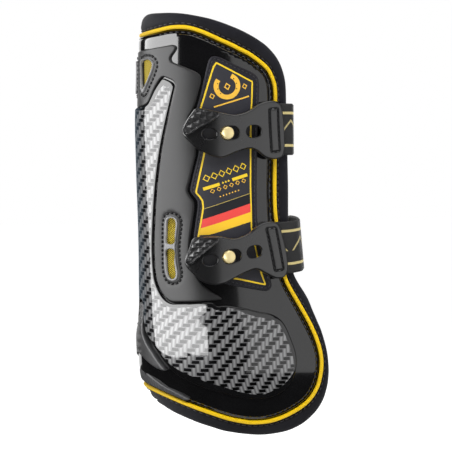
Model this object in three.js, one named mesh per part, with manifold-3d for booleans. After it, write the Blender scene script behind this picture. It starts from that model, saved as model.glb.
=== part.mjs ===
// Open-front tendon boot for a horse's front leg (outer side shown on -Y).
// Millimetres. +Z up the leg, +X forward (open side), -X the tendon, -Y the outer (lateral) side.
// The origin is in the middle of the leg cavity at mid height.
// Every wall piece is drawn flat as (s, z): s = arc length round the leg from the back centre
// (+ towards the outer side, - towards the inner side), z = height. It is then laid on the leg
// surface, between two distances d0 and d1 from the inside face of the hard shell (d = 0).
import * as THREE from 'three';
import Module from 'manifold-3d';

// ---------------------------------------------------------------- driving dimensions (mm)
const LAYERS = {                    // distance from the shell's inside face
  liner: [-6.6, -0.6], linerRim: [-3.2, 0.8],
  shell: [0, 2.4],
  label: [2.9, 3.5], carbon: [2.9, 3.8], frame: [2.9, 4.4], wing: [2.9, 5.4], band: [2.9, 3.7],
  bezel: [4.9, 5.7], mesh: [0.7, 1.5],
  elastic: [4.6, 6.4], tab: [6.9, 9.3], grip: [9.8, 12.6],
  gel: [-9.4, -7.1],
};
const PIPING_RADIUS = 1.45, PIPING_D = 2.6, PIPING_BUTT_GAP = 0.5;
const SHELL_INSET = 2.4;            // from the piping line to the shell's edge
const RIM_INSET = 2.3;              // from the piping line to the padded rim
const STUD = { neckR: 2.0, headR: 3.75, collarR: 4.2, plateR: 7, plateT: 1.0, holeR: 2.7 };
const UPPER_STUD = [57.9, 52.7], LOWER_STUD = [58.0, -22.4];
const SLOT = { half: 5.2, r: 4.0, hookedHalf: 6.1, hookedR: 4.3 }; // half length and half height; the hooked slot is eased to let the stud head through
const UPPER_SLOTS = [[48.0, 52.1, 4.1, 3.6], [59.6, 52.8], [74.4, 53.8]], UPPER_TILT = 3.5;
const LOWER_SLOTS = [[48.0, -24.2, 4.1, 3.6], [59.9, -22.1], [73.9, -19.7]], LOWER_TILT = 9.7;
const HINGE_D = 6.7;
const UPPER_HINGE = [[95.3, 71.4], [95.3, 39.6]];
const LOWER_HINGE = [[92.0, -1.8], [97.5, -33.6]];
const UPPER_EDGE_S = 100.2, LOWER_EDGE_S = [101.5, 105.0];
const UPPER_BOW = 9.5, LOWER_BOW = 14;
const COL = [4, 12, 20, 28, 36, 44, 52, 62, 74, 86, 98, 110, 122, 134];   // fold columns, |s|
const ROWS = []; for (let z = -131; z < 132; z += 15) ROWS.push(z);

// leg surface: rear half-ellipse (a, b) and front half-ellipse (f, b) at height z
const ZA = [-145, -130, -118, -105.6, -99.4, -92.5, -83, -78.8, -72.6, -63.2, -54, -44, -20, 0, 20, 43, 60, 74, 100, 145];
const A = [24.5, 27.0, 29.0, 31.6, 33.3, 34.4, 34.8, 35.1, 35.2, 34.0, 33.3, 33.5, 33.8, 34.3, 35.1, 35.8, 36.2, 35.9, 35.5, 35.1];
const ZB = [-145, -130, -115, -105, -95, -86, -78, -70, -62, -54, -44, -20, 0, 20, 50, 80, 112, 145];
const B = [30.0, 33.2, 35.9, 37.6, 39.5, 40.2, 40.2, 39.4, 37.8, 36.0, 34.5, 32.2, 31.0, 30.5, 30.3, 30.3, 30.6, 31.2];
const F = [150, 150, 150, 150, 150, 149, 146, 138, 129, 119, 110, 98, 92, 88, 86, 85, 84, 84];

// half outlines (s >= 0) from the back centre at the top, round the front, to the back centre at the bottom
const LINER = [[0, 127.3], [8, 127.1], [15.9, 126.7], [24.4, 126.3], [32.8, 125.5], [43.4, 123.7], [49.9, 122.4], [56.3, 120.7], [62.8, 118.6], [69.3, 116.3], [76, 113.4], [81.5, 110.6], [86.4, 107.6], [89.9, 104.7], [93.5, 101], [96.4, 96.8], [98.6, 91.9], [100.2, 86.4], [100.9, 80.2], [101.2, 72.7], [101.9, 55.3], [102, 39.3], [102, 20], [101.4, 0], [101.9, -13], [103, -24], [105.1, -33.7], [108.1, -38.9], [112.7, -45.2], [115.8, -50.1], [118.8, -56.1], [122.6, -62.3], [126.6, -68.5], [129.3, -74.8], [130.9, -81.2], [131.6, -87.6], [131.4, -94.1], [129.5, -100.6], [126.3, -106.9], [122.4, -113.1], [116.8, -119.2], [108.7, -125.2], [103.3, -128], [95.2, -130.7], [85.6, -132], [76.3, -132.2], [66.8, -131], [59.4, -129.5], [52.8, -127.8], [47.2, -125.5], [39.8, -122.9], [29.8, -119.4], [17.5, -116.5], [8, -115.3], [0, -115]];
const PIPE = [[0, 114.3], [6, 114.4], [11, 114.8], [19.1, 115.8], [25.7, 116.8], [31.8, 117], [37.5, 116.3], [43.2, 114.5], [48.9, 112.1], [54.9, 109.5], [61.2, 107], [67.6, 104.1], [74.1, 101.1], [80.7, 96.9], [83.8, 94.5], [86.5, 91.9], [88.9, 87.6], [90.7, 82.8], [91.3, 77.8], [91.4, 73.5], [91.5, 55], [90.8, 36.5], [90.2, 18], [90.2, 5.7], [90.9, -1.8], [92.5, -16], [94.6, -28.3], [97.5, -36.6], [99.4, -40.4], [104.4, -48.2], [110.4, -56.8], [117.4, -65.9], [122, -73.3], [124.5, -80.4], [125.2, -87.7], [124.2, -93.7], [121.6, -99.7], [117.2, -105.6], [110.9, -111.4], [104.7, -115.1], [97.3, -118.4], [90.1, -120.8], [83.3, -122.2], [76.7, -122.6], [70.4, -122.2], [64.3, -120.9], [58.4, -119.2], [52.7, -117], [47.5, -114.6], [42.6, -112.4], [37.4, -110.3], [31.8, -108.2], [25.5, -106.2], [17.7, -104.4], [8, -103.3], [0, -103]];
const FRAME = [[0, 104.2], [9.2, 104.4], [19.2, 105.2], [24.1, 105.8], [28, 106.2], [29.6, 105.3], [29.8, 104.1], [28.8, 102], [27.1, 99.7], [26.4, 97.9], [27, 96.2], [29.4, 94.9], [35.7, 92.2], [41.6, 89.2], [43.5, 87.4], [43.9, 85.3], [42.2, 76.3], [39.7, 66.6], [37.3, 61.2], [41, 55], [41.2, 41.3], [39.3, 32.9], [37.3, 24.4], [35.9, 18], [37.4, 14.4], [39.2, 11.4], [39.5, 8.1], [38.4, -1], [37.4, -9.4], [37.1, -17.9], [38.5, -26.9], [41.5, -33], [45, -38.5], [50.3, -43.1], [56.5, -47.6], [50, -48.5], [33.4, -49.3], [28.1, -49.3], [24.5, -47.4], [20.7, -43.5], [17, -36.4], [15.4, -27.6], [14.8, -15.4], [15.6, 0], [17.4, 17.1], [19.4, 31.1], [21.9, 45.1], [25, 58.9], [28.3, 74.5], [29.4, 80], [29.5, 81.9], [28.1, 84.2], [24.3, 86.2], [22, 86.9], [19.2, 84.2], [16.1, 79.4], [13.2, 74], [11.3, 71.3], [7.3, 69.7], [4, 69.3], [0, 69.2]];
const CARBON = [[0, 68.4], [4, 68.5], [7.6, 69], [11.8, 70.6], [13.8, 73.6], [16.7, 79], [19.7, 83.4], [22.1, 86], [24, 85.4], [27.6, 83.4], [28.7, 81.7], [28.6, 80], [27.4, 74.6], [24.1, 59], [21, 45.2], [18.5, 31.2], [16.5, 17.2], [14.7, 0], [13.9, -15.4], [14.5, -27.8], [16.1, -36.9], [19.9, -44.2], [23.8, -48.3], [28.2, -50.2], [33.4, -50.1], [51.3, -49.6], [53.7, -51.6], [58.6, -51.4], [68.4, -52.9], [81.2, -56.2], [88.8, -57.8], [95.1, -60.9], [99.9, -65.4], [105, -73.5], [107.7, -80.5], [108.2, -86.4], [107.2, -91.8], [104.1, -97.5], [99.7, -101.6], [93.4, -105.2], [86.3, -107.3], [78.5, -107.8], [70.5, -106.6], [61.9, -104.2], [53.8, -101.1], [46.7, -98.3], [40.8, -95.3], [35.3, -92.8], [30.5, -89.2], [25.7, -84.6], [21.2, -79.8], [14.7, -74], [9.5, -69.5], [6.6, -64], [5.2, -58], [4.4, -53], [3, -50.6], [0, -50.4]];
const WING = [[0, -51.6], [2.4, -52], [3.2, -55.2], [4.4, -62.9], [7, -69.9], [12.9, -75.6], [17.4, -79.2], [22.3, -84.2], [27.8, -89.9], [22.8, -89.6], [18.6, -88.5], [11.4, -86], [5.8, -84.2], [0, -83.3]];
const BAND = [[0, -91.6], [8.1, -93.1], [14.1, -94.4], [19.3, -95.9], [26.6, -99.5], [31.3, -101.8], [36.2, -104.6], [38.6, -106.3], [36, -107], [31.8, -105.4], [25.5, -103.3], [17.7, -101.5], [8, -100.3], [0, -100]];
const LABEL = [[49.4, 98.5], [50.8, 99.3], [54, 98.9], [64.9, 94.3], [76.2, 89.6], [78.8, 87.3], [79.8, 85.1], [79.9, 71.4], [79.5, 54.9], [78.7, 40.8], [78, 20.6], [77.8, 2.8], [78.3, -2.7], [81, -15.7], [85.3, -30.4], [87.7, -38.2], [88, -41.5], [85.8, -43.5], [83.5, -43.6], [74, -41.9], [63.6, -39.7], [52, -36.2], [45.5, -31], [41.2, -25], [38.9, -15], [39.2, -8.7], [40, -1], [41.3, 8.7], [41, 12], [38.9, 15.1], [37.4, 17.7], [38.5, 24.2], [40.6, 32.9], [42.5, 41.3], [42.5, 55.6], [39.3, 61.8], [41.2, 67], [43.7, 76], [45.6, 85.3], [48.2, 96.5]];
const UTAB = [[55.5, 64.9], [64.1, 64], [72.2, 66.8], [77.5, 70.5], [83, 72.3], [88.7, 72.5], [91.6, 70.7], [93.2, 66.5], [94.2, 60], [94.6, 53.8], [94.4, 43.8], [92.8, 38.6], [87.1, 36.9], [81.4, 38.2], [76, 42.1], [72, 43.4], [65.1, 41.8], [54.5, 37.9], [49.7, 38.5], [45.9, 40.4], [41.7, 43], [38, 47.2], [35.4, 50.5], [34.6, 54.5], [36.6, 60], [39, 64.5], [41.5, 67.5], [47, 67]];
const UGRIP = [[34.9, 54.3], [36.7, 59.7], [39, 64.2], [41.2, 67.3], [46.8, 66.7], [52.7, 64.9], [52.2, 62.4], [49.2, 59.6], [42.3, 55], [36.5, 51.3]];
const LTAB = [[53.1, -9.9], [61.7, -11.3], [69.7, -8.5], [76.5, -3.4], [82.1, -1.5], [87.7, -2], [90.6, -5.7], [92.2, -10.6], [94.2, -18.1], [95.4, -23.9], [95.9, -31.3], [93.8, -35.8], [88.6, -36.4], [81.6, -33.2], [75.5, -30.3], [69.7, -31.9], [61.6, -35.7], [56, -38.4], [49.9, -39.1], [45, -37.2], [40, -32.3], [36.3, -27.5], [35.5, -24.5], [37, -18.5], [39.5, -11.5], [46, -9.8]];
const LGRIP = [[36.3, -25.4], [36.8, -21.4], [38, -15.6], [39.7, -10.6], [46.1, -10.2], [51.6, -10.8], [51.4, -12.6], [49.1, -15.5], [43.6, -21.2], [38.6, -26.4]];
const SVENT = [[22.9, -1], [23.8, 1.7], [26.8, 2.7], [29.6, 1.6], [30.7, -1], [30.2, -8.8], [29.7, -16.1], [30.4, -25.2], [31.7, -32.4], [31.1, -35.7], [28.9, -36.8], [25.8, -35.9], [23.6, -31.4], [22.9, -25.4], [22.7, -16.3], [22.6, -9]];
const SWIN = [[[24.7, -1.4], [25.4, 0.5], [27, 1], [28.4, 0.2], [28.9, -1.6], [28.5, -8.8], [28.2, -13.6], [24.6, -13.6], [24.5, -9]], [[24.6, -18.2], [28.2, -18.2], [28.7, -25.6], [29.8, -32.2], [29.5, -34.4], [28.7, -35], [26.7, -34.4], [25.3, -31], [24.7, -25.2]]];
const RVENT = [[4.3, 96.8], [5.6, 98.6], [10.5, 99], [14.4, 98], [16.6, 95.3], [15.8, 91], [13.6, 86.2], [10.8, 81.4], [8.7, 78], [7, 77.4], [5.6, 79.2], [4.7, 88]];
const RWIN = [[5.9, 96], [6.8, 97], [10.4, 97.3], [13.5, 96.5], [14.7, 94.9], [14, 91.6], [12, 87.2], [9.6, 83.1], [8.1, 80.9], [7.2, 81.4], [6.3, 88.2]];
const RMESH = [[5.7, 95.6], [6.7, 96.6], [10.4, 96.9], [13.2, 96.1], [14.3, 94.8], [13.6, 91.8], [11.6, 87.5], [9.2, 83.4], [7.9, 81.6], [7.2, 82.2], [6.4, 88.2]];
const GEL = [[9, 84], [30, 84], [34, 78], [34, -34], [28, -42], [14, -42], [9, -36]];

// ---------------------------------------------------------------- leg surface
function hermite(tx, ty) {
  const n = tx.length, h = [], dl = [], m = new Array(n).fill(0);
  for (let i = 0; i < n - 1; i++) { h.push(tx[i + 1] - tx[i]); dl.push((ty[i + 1] - ty[i]) / h[i]); }
  for (let i = 1; i < n - 1; i++) m[i] = dl[i - 1] * dl[i] < 0 ? 0 : (h[i] * dl[i - 1] + h[i - 1] * dl[i]) / (h[i] + h[i - 1]);
  m[0] = dl[0]; m[n - 1] = dl[n - 2];
  return (z) => {
    z = Math.min(Math.max(z, tx[0]), tx[n - 1]);
    let i = 0; while (i < n - 2 && z >= tx[i + 1]) i++;
    const t = (z - tx[i]) / h[i], t2 = t * t, t3 = t2 * t;
    return (2 * t3 - 3 * t2 + 1) * ty[i] + (t3 - 2 * t2 + t) * h[i] * m[i] + (-2 * t3 + 3 * t2) * ty[i + 1] + (t3 - t2) * h[i] * m[i + 1];
  };
}
const fa = hermite(ZA, A), fb = hermite(ZB, B), ff = hermite(ZB, F);
const SMAX = 160, DS = 0.5, ZMAX = 145, DZ = 1, NS = SMAX / DS + 1, NZ = 2 * ZMAX / DZ + 1;
const GX = new Float64Array(NS * NZ), GY = new Float64Array(NS * NZ);
for (let k = 0; k < NZ; k++) {
  const z = -ZMAX + k * DZ, a = fa(z), b = fb(z), f = ff(z), xs = [], ys = [];
  for (let i = 0; i <= 300; i++) { const t = i / 300 * Math.PI / 2; xs.push(-a * Math.cos(t)); ys.push(-b * Math.sin(t)); }
  for (let i = 1; i <= 500; i++) { const u = i / 500 * 0.75; xs.push(f * Math.sin(u)); ys.push(-b * Math.cos(u)); }
  const n = xs.length, tx = xs[n - 1] - xs[n - 2], ty = ys[n - 1] - ys[n - 2], tl = Math.hypot(tx, ty);
  xs.push(xs[n - 1] + tx / tl * 120); ys.push(ys[n - 1] + ty / tl * 120);
  let j = 0, acc = 0;
  for (let i = 0; i < NS; i++) {
    const s = i * DS;
    let seg = Math.hypot(xs[j + 1] - xs[j], ys[j + 1] - ys[j]);
    while (acc + seg < s && j < xs.length - 2) { acc += seg; j++; seg = Math.hypot(xs[j + 1] - xs[j], ys[j + 1] - ys[j]); }
    const t = (s - acc) / seg;
    GX[k * NS + i] = xs[j] + (xs[j + 1] - xs[j]) * t; GY[k * NS + i] = ys[j] + (ys[j + 1] - ys[j]) * t;
  }
}
function base(s, z) {
  const q = Math.min(Math.abs(s), SMAX - 0.01) / DS, r = (Math.min(Math.max(z, -ZMAX), ZMAX - 0.01) + ZMAX) / DZ;
  const i = Math.floor(q), k = Math.floor(r), u = q - i, v = r - k, o = k * NS + i;
  const w = (G) => (G[o] * (1 - u) + G[o + 1] * u) * (1 - v) + (G[o + NS] * (1 - u) + G[o + NS + 1] * u) * v;
  return new THREE.Vector3(w(GX), w(GY) * (s < 0 ? -1 : 1), z);
}
function normal(s, z) {
  const e = 1.0, a = base(s + e, z).sub(base(s - e, z)), b = base(s, z + e).sub(base(s, z - e));
  return a.cross(b).normalize();        // points out of the leg
}
function P(s, z, d) { return base(s, z).addScaledVector(normal(s, z), d); }
if (normal(0, 0).x > 0) throw new Error('normal points in');

// ---------------------------------------------------------------- helpers
const wasm = await Module(); wasm.setup();
function weld(pos, tol = 1e-3) {
  const map = new Map(), idx = [], out = [];
  for (let i = 0; i < pos.length; i += 3) {
    const q = [0, 1, 2].map((c) => Math.round(pos[i + c] / tol));
    let hit = -1;
    for (let a = -1; a <= 1 && hit < 0; a++) for (let b = -1; b <= 1 && hit < 0; b++) for (let c = -1; c <= 1 && hit < 0; c++) {
      const v = map.get((q[0] + a) + ',' + (q[1] + b) + ',' + (q[2] + c));
      if (v !== undefined) hit = v;
    }
    if (hit < 0) { hit = out.length / 3; out.push(pos[i], pos[i + 1], pos[i + 2]); map.set(q.join(','), hit); }
    idx.push(hit);
  }
  return { out, idx };
}
function toManifold(geo) {
  const g = geo.index ? geo.toNonIndexed() : geo, { out, idx } = weld(g.attributes.position.array, 1e-4), tri = [];
  for (let i = 0; i < idx.length; i += 3) if (idx[i] !== idx[i + 1] && idx[i + 1] !== idx[i + 2] && idx[i] !== idx[i + 2]) tri.push(idx[i], idx[i + 1], idx[i + 2]);
  return new wasm.Manifold(new wasm.Mesh({ numProp: 3, vertProperties: new Float32Array(out), triVerts: new Uint32Array(tri) }));
}
function fromManifold(m) {
  const r = m.getMesh(), pos = [];
  for (let i = 0; i < r.triVerts.length; i++) { const v = r.triVerts[i] * r.numProp; pos.push(r.vertProperties[v], r.vertProperties[v + 1], r.vertProperties[v + 2]); }
  const g = new THREE.BufferGeometry(); g.setAttribute('position', new THREE.Float32BufferAttribute(pos, 3)); return g;
}
const vec = (pts) => pts.map((p) => new THREE.Vector2(p[0], p[1]));
const ccw = (v) => (THREE.ShapeUtils.area(v) < 0 ? v.reverse() : v);
const shapeOf = (pts) => new THREE.Shape(ccw(vec(pts)));
const pathOf = (pts) => new THREE.Path(ccw(vec(pts)).reverse());
const mirror = (pts) => pts.map((p) => [-p[0], p[1]]).reverse();
const whole = (half) => half.concat(half.slice(1, -1).map((p) => [-p[0], p[1]]).reverse());
function offset(pts, by, closed = true) {             // to the left of the direction of travel
  const n = pts.length;
  return pts.map((p, i) => {
    const a = pts[closed ? (i + n - 1) % n : Math.max(i - 1, 0)], b = pts[closed ? (i + 1) % n : Math.min(i + 1, n - 1)];
    const t = [b[0] - a[0], b[1] - a[1]], l = Math.hypot(t[0], t[1]);
    return [p[0] - t[1] / l * by, p[1] + t[0] / l * by];
  });
}
function ring(c, half, r, tilt, n = 8) {              // an oval slot or a round hole
  const out = [], a = tilt * Math.PI / 180, e = half - r;
  for (let k = 0; k < 2; k++) for (let i = 0; i <= n / 2; i++) {
    const t = (k ? Math.PI / 2 : -Math.PI / 2) + i / (n / 2) * Math.PI, x = (k ? -e : e) + r * Math.cos(t), y = r * Math.sin(t);
    out.push([c[0] + x * Math.cos(a) - y * Math.sin(a), c[1] + x * Math.sin(a) + y * Math.cos(a)]);
  }
  if (e < 1e-6) { out.splice(n / 2, 1); out.pop(); }
  return out;
}
// triangulate a flat (s, z) outline on the fold grid, so that every layer folds on the same lines
function region(outline, holes = [], cols = null, rows = ROWS) {
  const shp = shapeOf(outline); holes.forEach((h) => shp.holes.push(pathOf(h)));
  const flat = toManifold(new THREE.ExtrudeGeometry(shp, { depth: 1, bevelEnabled: false, curveSegments: 1 }));
  const S = cols || [...COL.map((c) => -c).reverse(), ...COL];
  const xs = outline.map((p) => p[0]), ys = outline.map((p) => p[1]);
  const x0 = Math.min(...xs) - 1, x1 = Math.max(...xs) + 1, y0 = Math.min(...ys) - 1, y1 = Math.max(...ys) + 1;
  const cx = [x0, ...S.filter((v) => v > x0 + 0.5 && v < x1 - 0.5), x1], cy = [y0, ...rows.filter((v) => v > y0 + 0.5 && v < y1 - 0.5), y1];
  const pos = [];
  for (let i = 0; i < cx.length - 1; i++) for (let j = 0; j < cy.length - 1; j++) {
    const box = new THREE.BoxGeometry(cx[i + 1] - cx[i], cy[j + 1] - cy[j], 4);
    box.translate((cx[i] + cx[i + 1]) / 2, (cy[j] + cy[j + 1]) / 2, 0.5);
    const r = flat.intersect(toManifold(box)).getMesh(), v = r.vertProperties, n = r.numProp;
    for (let t = 0; t < r.triVerts.length; t += 3) {
      const q = [r.triVerts[t], r.triVerts[t + 1], r.triVerts[t + 2]];
      if (q.every((k) => v[k * n + 2] > 0.5)) q.forEach((k) => pos.push(v[k * n], v[k * n + 1], 0));
    }
  }
  const { out, idx } = weld(pos, 2e-3), tris = [];
  for (let i = 0; i < idx.length; i += 3) if (idx[i] !== idx[i + 1] && idx[i + 1] !== idx[i + 2] && idx[i] !== idx[i + 2]) tris.push([idx[i], idx[i + 1], idx[i + 2]]);
  const verts = []; for (let i = 0; i < out.length; i += 3) verts.push([out[i], out[i + 1]]);
  return { verts, tris };
}
function plate(reg, d0, d1) {
  const { verts, tris } = reg, edge = new Map(), pos = [];
  const f0 = typeof d0 === 'function' ? d0 : () => d0, f1 = typeof d1 === 'function' ? d1 : () => d1;
  const lo = verts.map(([s, z]) => P(s, z, f0(s, z))), hi = verts.map(([s, z]) => P(s, z, f1(s, z)));
  const put = (...v) => v.forEach((p) => pos.push(p.x, p.y, p.z));
  for (const [a, b, c] of tris) {
    put(hi[a], hi[c], hi[b]); put(lo[a], lo[b], lo[c]);
    for (const [p, q] of [[a, b], [b, c], [c, a]]) edge.set(p + '_' + q, [p, q]);
  }
  for (const [k, [p, q]] of edge) if (!edge.has(q + '_' + p)) { put(hi[p], lo[q], lo[p]); put(hi[p], hi[q], lo[q]); }
  const g = new THREE.BufferGeometry(); g.setAttribute('position', new THREE.Float32BufferAttribute(pos, 3));
  return outward(g);
}
function steps(parts, d0) {                           // side by side regions, each with its own top
  const all = [], pos = [], put = (...v) => v.forEach((p) => pos.push(p.x, p.y, p.z));
  for (const [reg] of parts) for (const v of reg.verts) all.push(v[0], v[1], 0);
  const { out, idx } = weld(all, 2e-3), edges = new Map(), at = (i) => [out[3 * i], out[3 * i + 1]];
  let o = 0;
  for (const [reg, d1] of parts) {
    for (const t of reg.tris) {
      const q = t.map((k) => idx[o + k]), hi = q.map((k) => P(...at(k), d1)), lo = q.map((k) => P(...at(k), d0));
      put(hi[0], hi[2], hi[1]); put(lo[0], lo[1], lo[2]);
      for (let k = 0; k < 3; k++) edges.set(q[k] + '_' + q[(k + 1) % 3], [q[k], q[(k + 1) % 3], d1]);
    }
    o += reg.verts.length;
  }
  for (const [, [p, q, d1]] of edges) {
    const other = edges.get(q + '_' + p), low = other ? other[2] : d0;
    if (other && low >= d1) continue;
    const a = P(...at(p), low), b = P(...at(q), low), c = P(...at(p), d1), d = P(...at(q), d1);
    put(c, b, a); put(c, d, b);
  }
  const g = new THREE.BufferGeometry(); g.setAttribute('position', new THREE.Float32BufferAttribute(pos, 3));
  return outward(g);
}
function outward(g) {
  const p = g.attributes.position.array; let v = 0;
  for (let i = 0; i < p.length; i += 9) v += p[i] * (p[i + 4] * p[i + 8] - p[i + 5] * p[i + 7]) - p[i + 1] * (p[i + 3] * p[i + 8] - p[i + 5] * p[i + 6]) + p[i + 2] * (p[i + 3] * p[i + 7] - p[i + 4] * p[i + 6]);
  if (v < 0) for (let i = 0; i < p.length; i += 9) for (let c = 0; c < 3; c++) { const t = p[i + 3 + c]; p[i + 3 + c] = p[i + 6 + c]; p[i + 6 + c] = t; }
  return g;
}
function loft(rings, closedLoop = false) {            // rings of equal length, joined in order
  const pos = [], put = (...v) => v.forEach((p) => pos.push(p.x, p.y, p.z)), n = rings[0].length, m = rings.length;
  for (let i = 0; i < (closedLoop ? m : m - 1); i++) for (let k = 0; k < n; k++) {
    const a = rings[i][k], b = rings[i][(k + 1) % n], c = rings[(i + 1) % m][(k + 1) % n], d = rings[(i + 1) % m][k];
    put(a, b, c); put(a, c, d);
  }
  if (!closedLoop) for (let k = 1; k < n - 1; k++) { put(rings[0][0], rings[0][k + 1], rings[0][k]); put(rings[m - 1][0], rings[m - 1][k], rings[m - 1][k + 1]); }
  const g = new THREE.BufferGeometry(); g.setAttribute('position', new THREE.Float32BufferAttribute(pos, 3));
  return outward(g);
}

// ---------------------------------------------------------------- finishes
const mat = (color, roughness, metalness = 0) => new THREE.MeshStandardMaterial({ color, roughness, metalness });
const M = {
  neoprene: mat(0x1b1b22, 0.85), shell: mat(0x0b0b0c, 0.18), carbon: mat(0x4a4c50, 0.25, 0.2), frame: mat(0x2e2f31, 0.45),
  label: mat(0x2c2c33, 0.6), piping: mat(0xe8bf10, 0.5), bezel: mat(0x9a9a9c, 0.4), mesh: mat(0xb09018, 0.6),
  stud: mat(0xe0bd6a, 0.25, 1), plate: mat(0x8a8a88, 0.4, 1), tab: mat(0x0e0e0f, 0.3), elastic: mat(0x131316, 0.8), gel: mat(0x35404a, 0.4),
};
const part = new THREE.Group();
function add(name, geo, material) { const m = new THREE.Mesh(geo, material); m.name = name; part.add(m); return m; }

// ---------------------------------------------------------------- liner and shell
const linerOut = whole(LINER), pipeOut = whole(PIPE);  // both run clockwise in (s, z)
const cw = THREE.ShapeUtils.area(linerOut.map((p) => new THREE.Vector2(...p))) < 0;
const inward = (pts, by) => offset(pts, cw ? -by : by);
{
  const under = inward(pipeOut, -RIM_INSET);         // the shell covers this part, the rest is the padded rim
  let liner = toManifold(steps([[region(under), LAYERS.liner[1]], [region(linerOut, [under]), LAYERS.linerRim[1]]], LAYERS.liner[0]));
  for (const c of [UPPER_STUD, LOWER_STUD]) {        // pockets for the stud backplates
    const g = new THREE.CylinderGeometry(STUD.plateR + 0.6, STUD.plateR + 0.6, 4, 16);
    g.applyQuaternion(new THREE.Quaternion().setFromUnitVectors(new THREE.Vector3(0, 1, 0), normal(...c)));
    const o = P(...c, -0.35 - STUD.plateT - 0.55 + 2); g.translate(o.x, o.y, o.z);
    liner = liner.subtract(toManifold(g));
  }
  add('neoprene_liner', fromManifold(liner), M.neoprene);
}
const holeRing = (c) => ring(c, STUD.holeR, STUD.holeR, 0, 10);
const svH = inward2(SVENT, 1.0), rvH = inward2(RVENT, 1.0);
function inward2(pts, by) { const a = THREE.ShapeUtils.area(pts.map((p) => new THREE.Vector2(...p))); return offset(pts, a < 0 ? -by : by); }
add('outer_shell', plate(region(inward(pipeOut, SHELL_INSET), [holeRing(UPPER_STUD), holeRing(LOWER_STUD), svH, mirror(svH), rvH, mirror(rvH)]), ...LAYERS.shell), M.shell);
add('tendon_frame', plate(region(whole(FRAME), [svH, mirror(svH), rvH, mirror(rvH)]), ...LAYERS.frame), M.frame);
add('carbon_tendon_guard', plate(region(whole(CARBON)), ...LAYERS.carbon), M.carbon);
add('fetlock_wing', plate(region(whole(WING)), ...LAYERS.wing), M.frame);
add('lower_ribbed_band', plate(region(whole(BAND)), ...LAYERS.band), M.frame);
add('label_patch', plate(region(LABEL, [holeRing(UPPER_STUD), holeRing(LOWER_STUD)]), ...LAYERS.label), M.label);

// vents: a bezel on the frame and a mesh grille in the shell's opening
const meshS = inward2(SVENT, 1.7), meshR = RMESH;
for (const [side, f] of [['lateral', (p) => p], ['medial', mirror]]) {
  add(side + '_side_vent_bezel', plate(region(f(SVENT), SWIN.map(f)), ...LAYERS.bezel), M.bezel);
  add(side + '_side_vent_mesh', plate(region(f(meshS)), ...LAYERS.mesh), M.mesh);
  add(side + '_rear_vent_bezel', plate(region(f(RVENT), [f(RWIN)]), ...LAYERS.bezel), M.bezel);
  add(side + '_rear_vent_mesh', plate(region(f(meshR)), ...LAYERS.mesh), M.mesh);
  add(side + '_gel_pad', plate(region(f(GEL)), ...LAYERS.gel), M.gel);
}

// piping: one cord round the shell's edge, butted at the back of the bottom edge
{
  const loop = new THREE.CatmullRomCurve3(whole(PIPE).slice(0).map((p) => new THREE.Vector3(p[0], p[1], 0)), true, 'centripetal');
  const n = 108, total = loop.getLength(), half = whole(PIPE).length / 2;
  // start at the bottom back centre
  let u0 = 0, best = 1e9;
  for (let i = 0; i <= 4000; i++) { const p = loop.getPointAt(i / 4000); if (p.y < 0 && Math.abs(p.x) < best) { best = Math.abs(p.x); u0 = i / 4000; } }
  const gap = PIPING_BUTT_GAP / total, rings = [], c = [];
  for (let i = 0; i <= n; i++) { const p = loop.getPointAt((u0 + gap / 2 + (1 - gap) * i / n) % 1); c.push([p.x, p.y]); }
  for (let i = 0; i <= n; i++) {
    const a = P(...c[Math.max(i - 1, 0)], PIPING_D), b = P(...c[Math.min(i + 1, n)], PIPING_D), o = P(...c[i], PIPING_D);
    const t = b.sub(a).normalize(), N = normal(...c[i]), S = new THREE.Vector3().crossVectors(t, N).normalize(), N2 = new THREE.Vector3().crossVectors(S, t);
    const r = []; for (let k = 0; k < 6; k++) { const w = k / 6 * 2 * Math.PI; r.push(o.clone().addScaledVector(S, PIPING_RADIUS * Math.cos(w)).addScaledVector(N2, PIPING_RADIUS * Math.sin(w))); }
    rings.push(r);
  }
  add('edge_piping', loft(rings), M.piping);
}

// studs and backplates
for (const [name, c] of [['upper', UPPER_STUD], ['lower', LOWER_STUD]]) {
  const N = normal(...c), q = new THREE.Quaternion().setFromUnitVectors(new THREE.Vector3(0, 1, 0), N), o = P(...c, 0);
  const pr = [[0, 0.1], [STUD.neckR, 0.1], [STUD.neckR, 3.9], [STUD.collarR, 3.9], [STUD.collarR, 4.6], [STUD.neckR, 4.8], [STUD.neckR, 9.9], [STUD.headR, 10.1], [STUD.headR, 10.9], [STUD.headR * 0.8, 11.6], [STUD.headR * 0.4, 12.0], [0, 12.1]];
  const g = new THREE.LatheGeometry(pr.map((p) => new THREE.Vector2(...p)), 16); g.deleteAttribute('normal'); g.deleteAttribute('uv');
  const m = add('stud_' + name, g, M.stud); m.quaternion.copy(q); m.position.copy(o);
  const b = new THREE.CylinderGeometry(STUD.plateR, STUD.plateR, STUD.plateT, 16);
  const k = add('stud_backplate_' + name, b, M.plate); k.quaternion.copy(q); k.position.copy(P(...c, -0.45 - STUD.plateT / 2));
}

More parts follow.
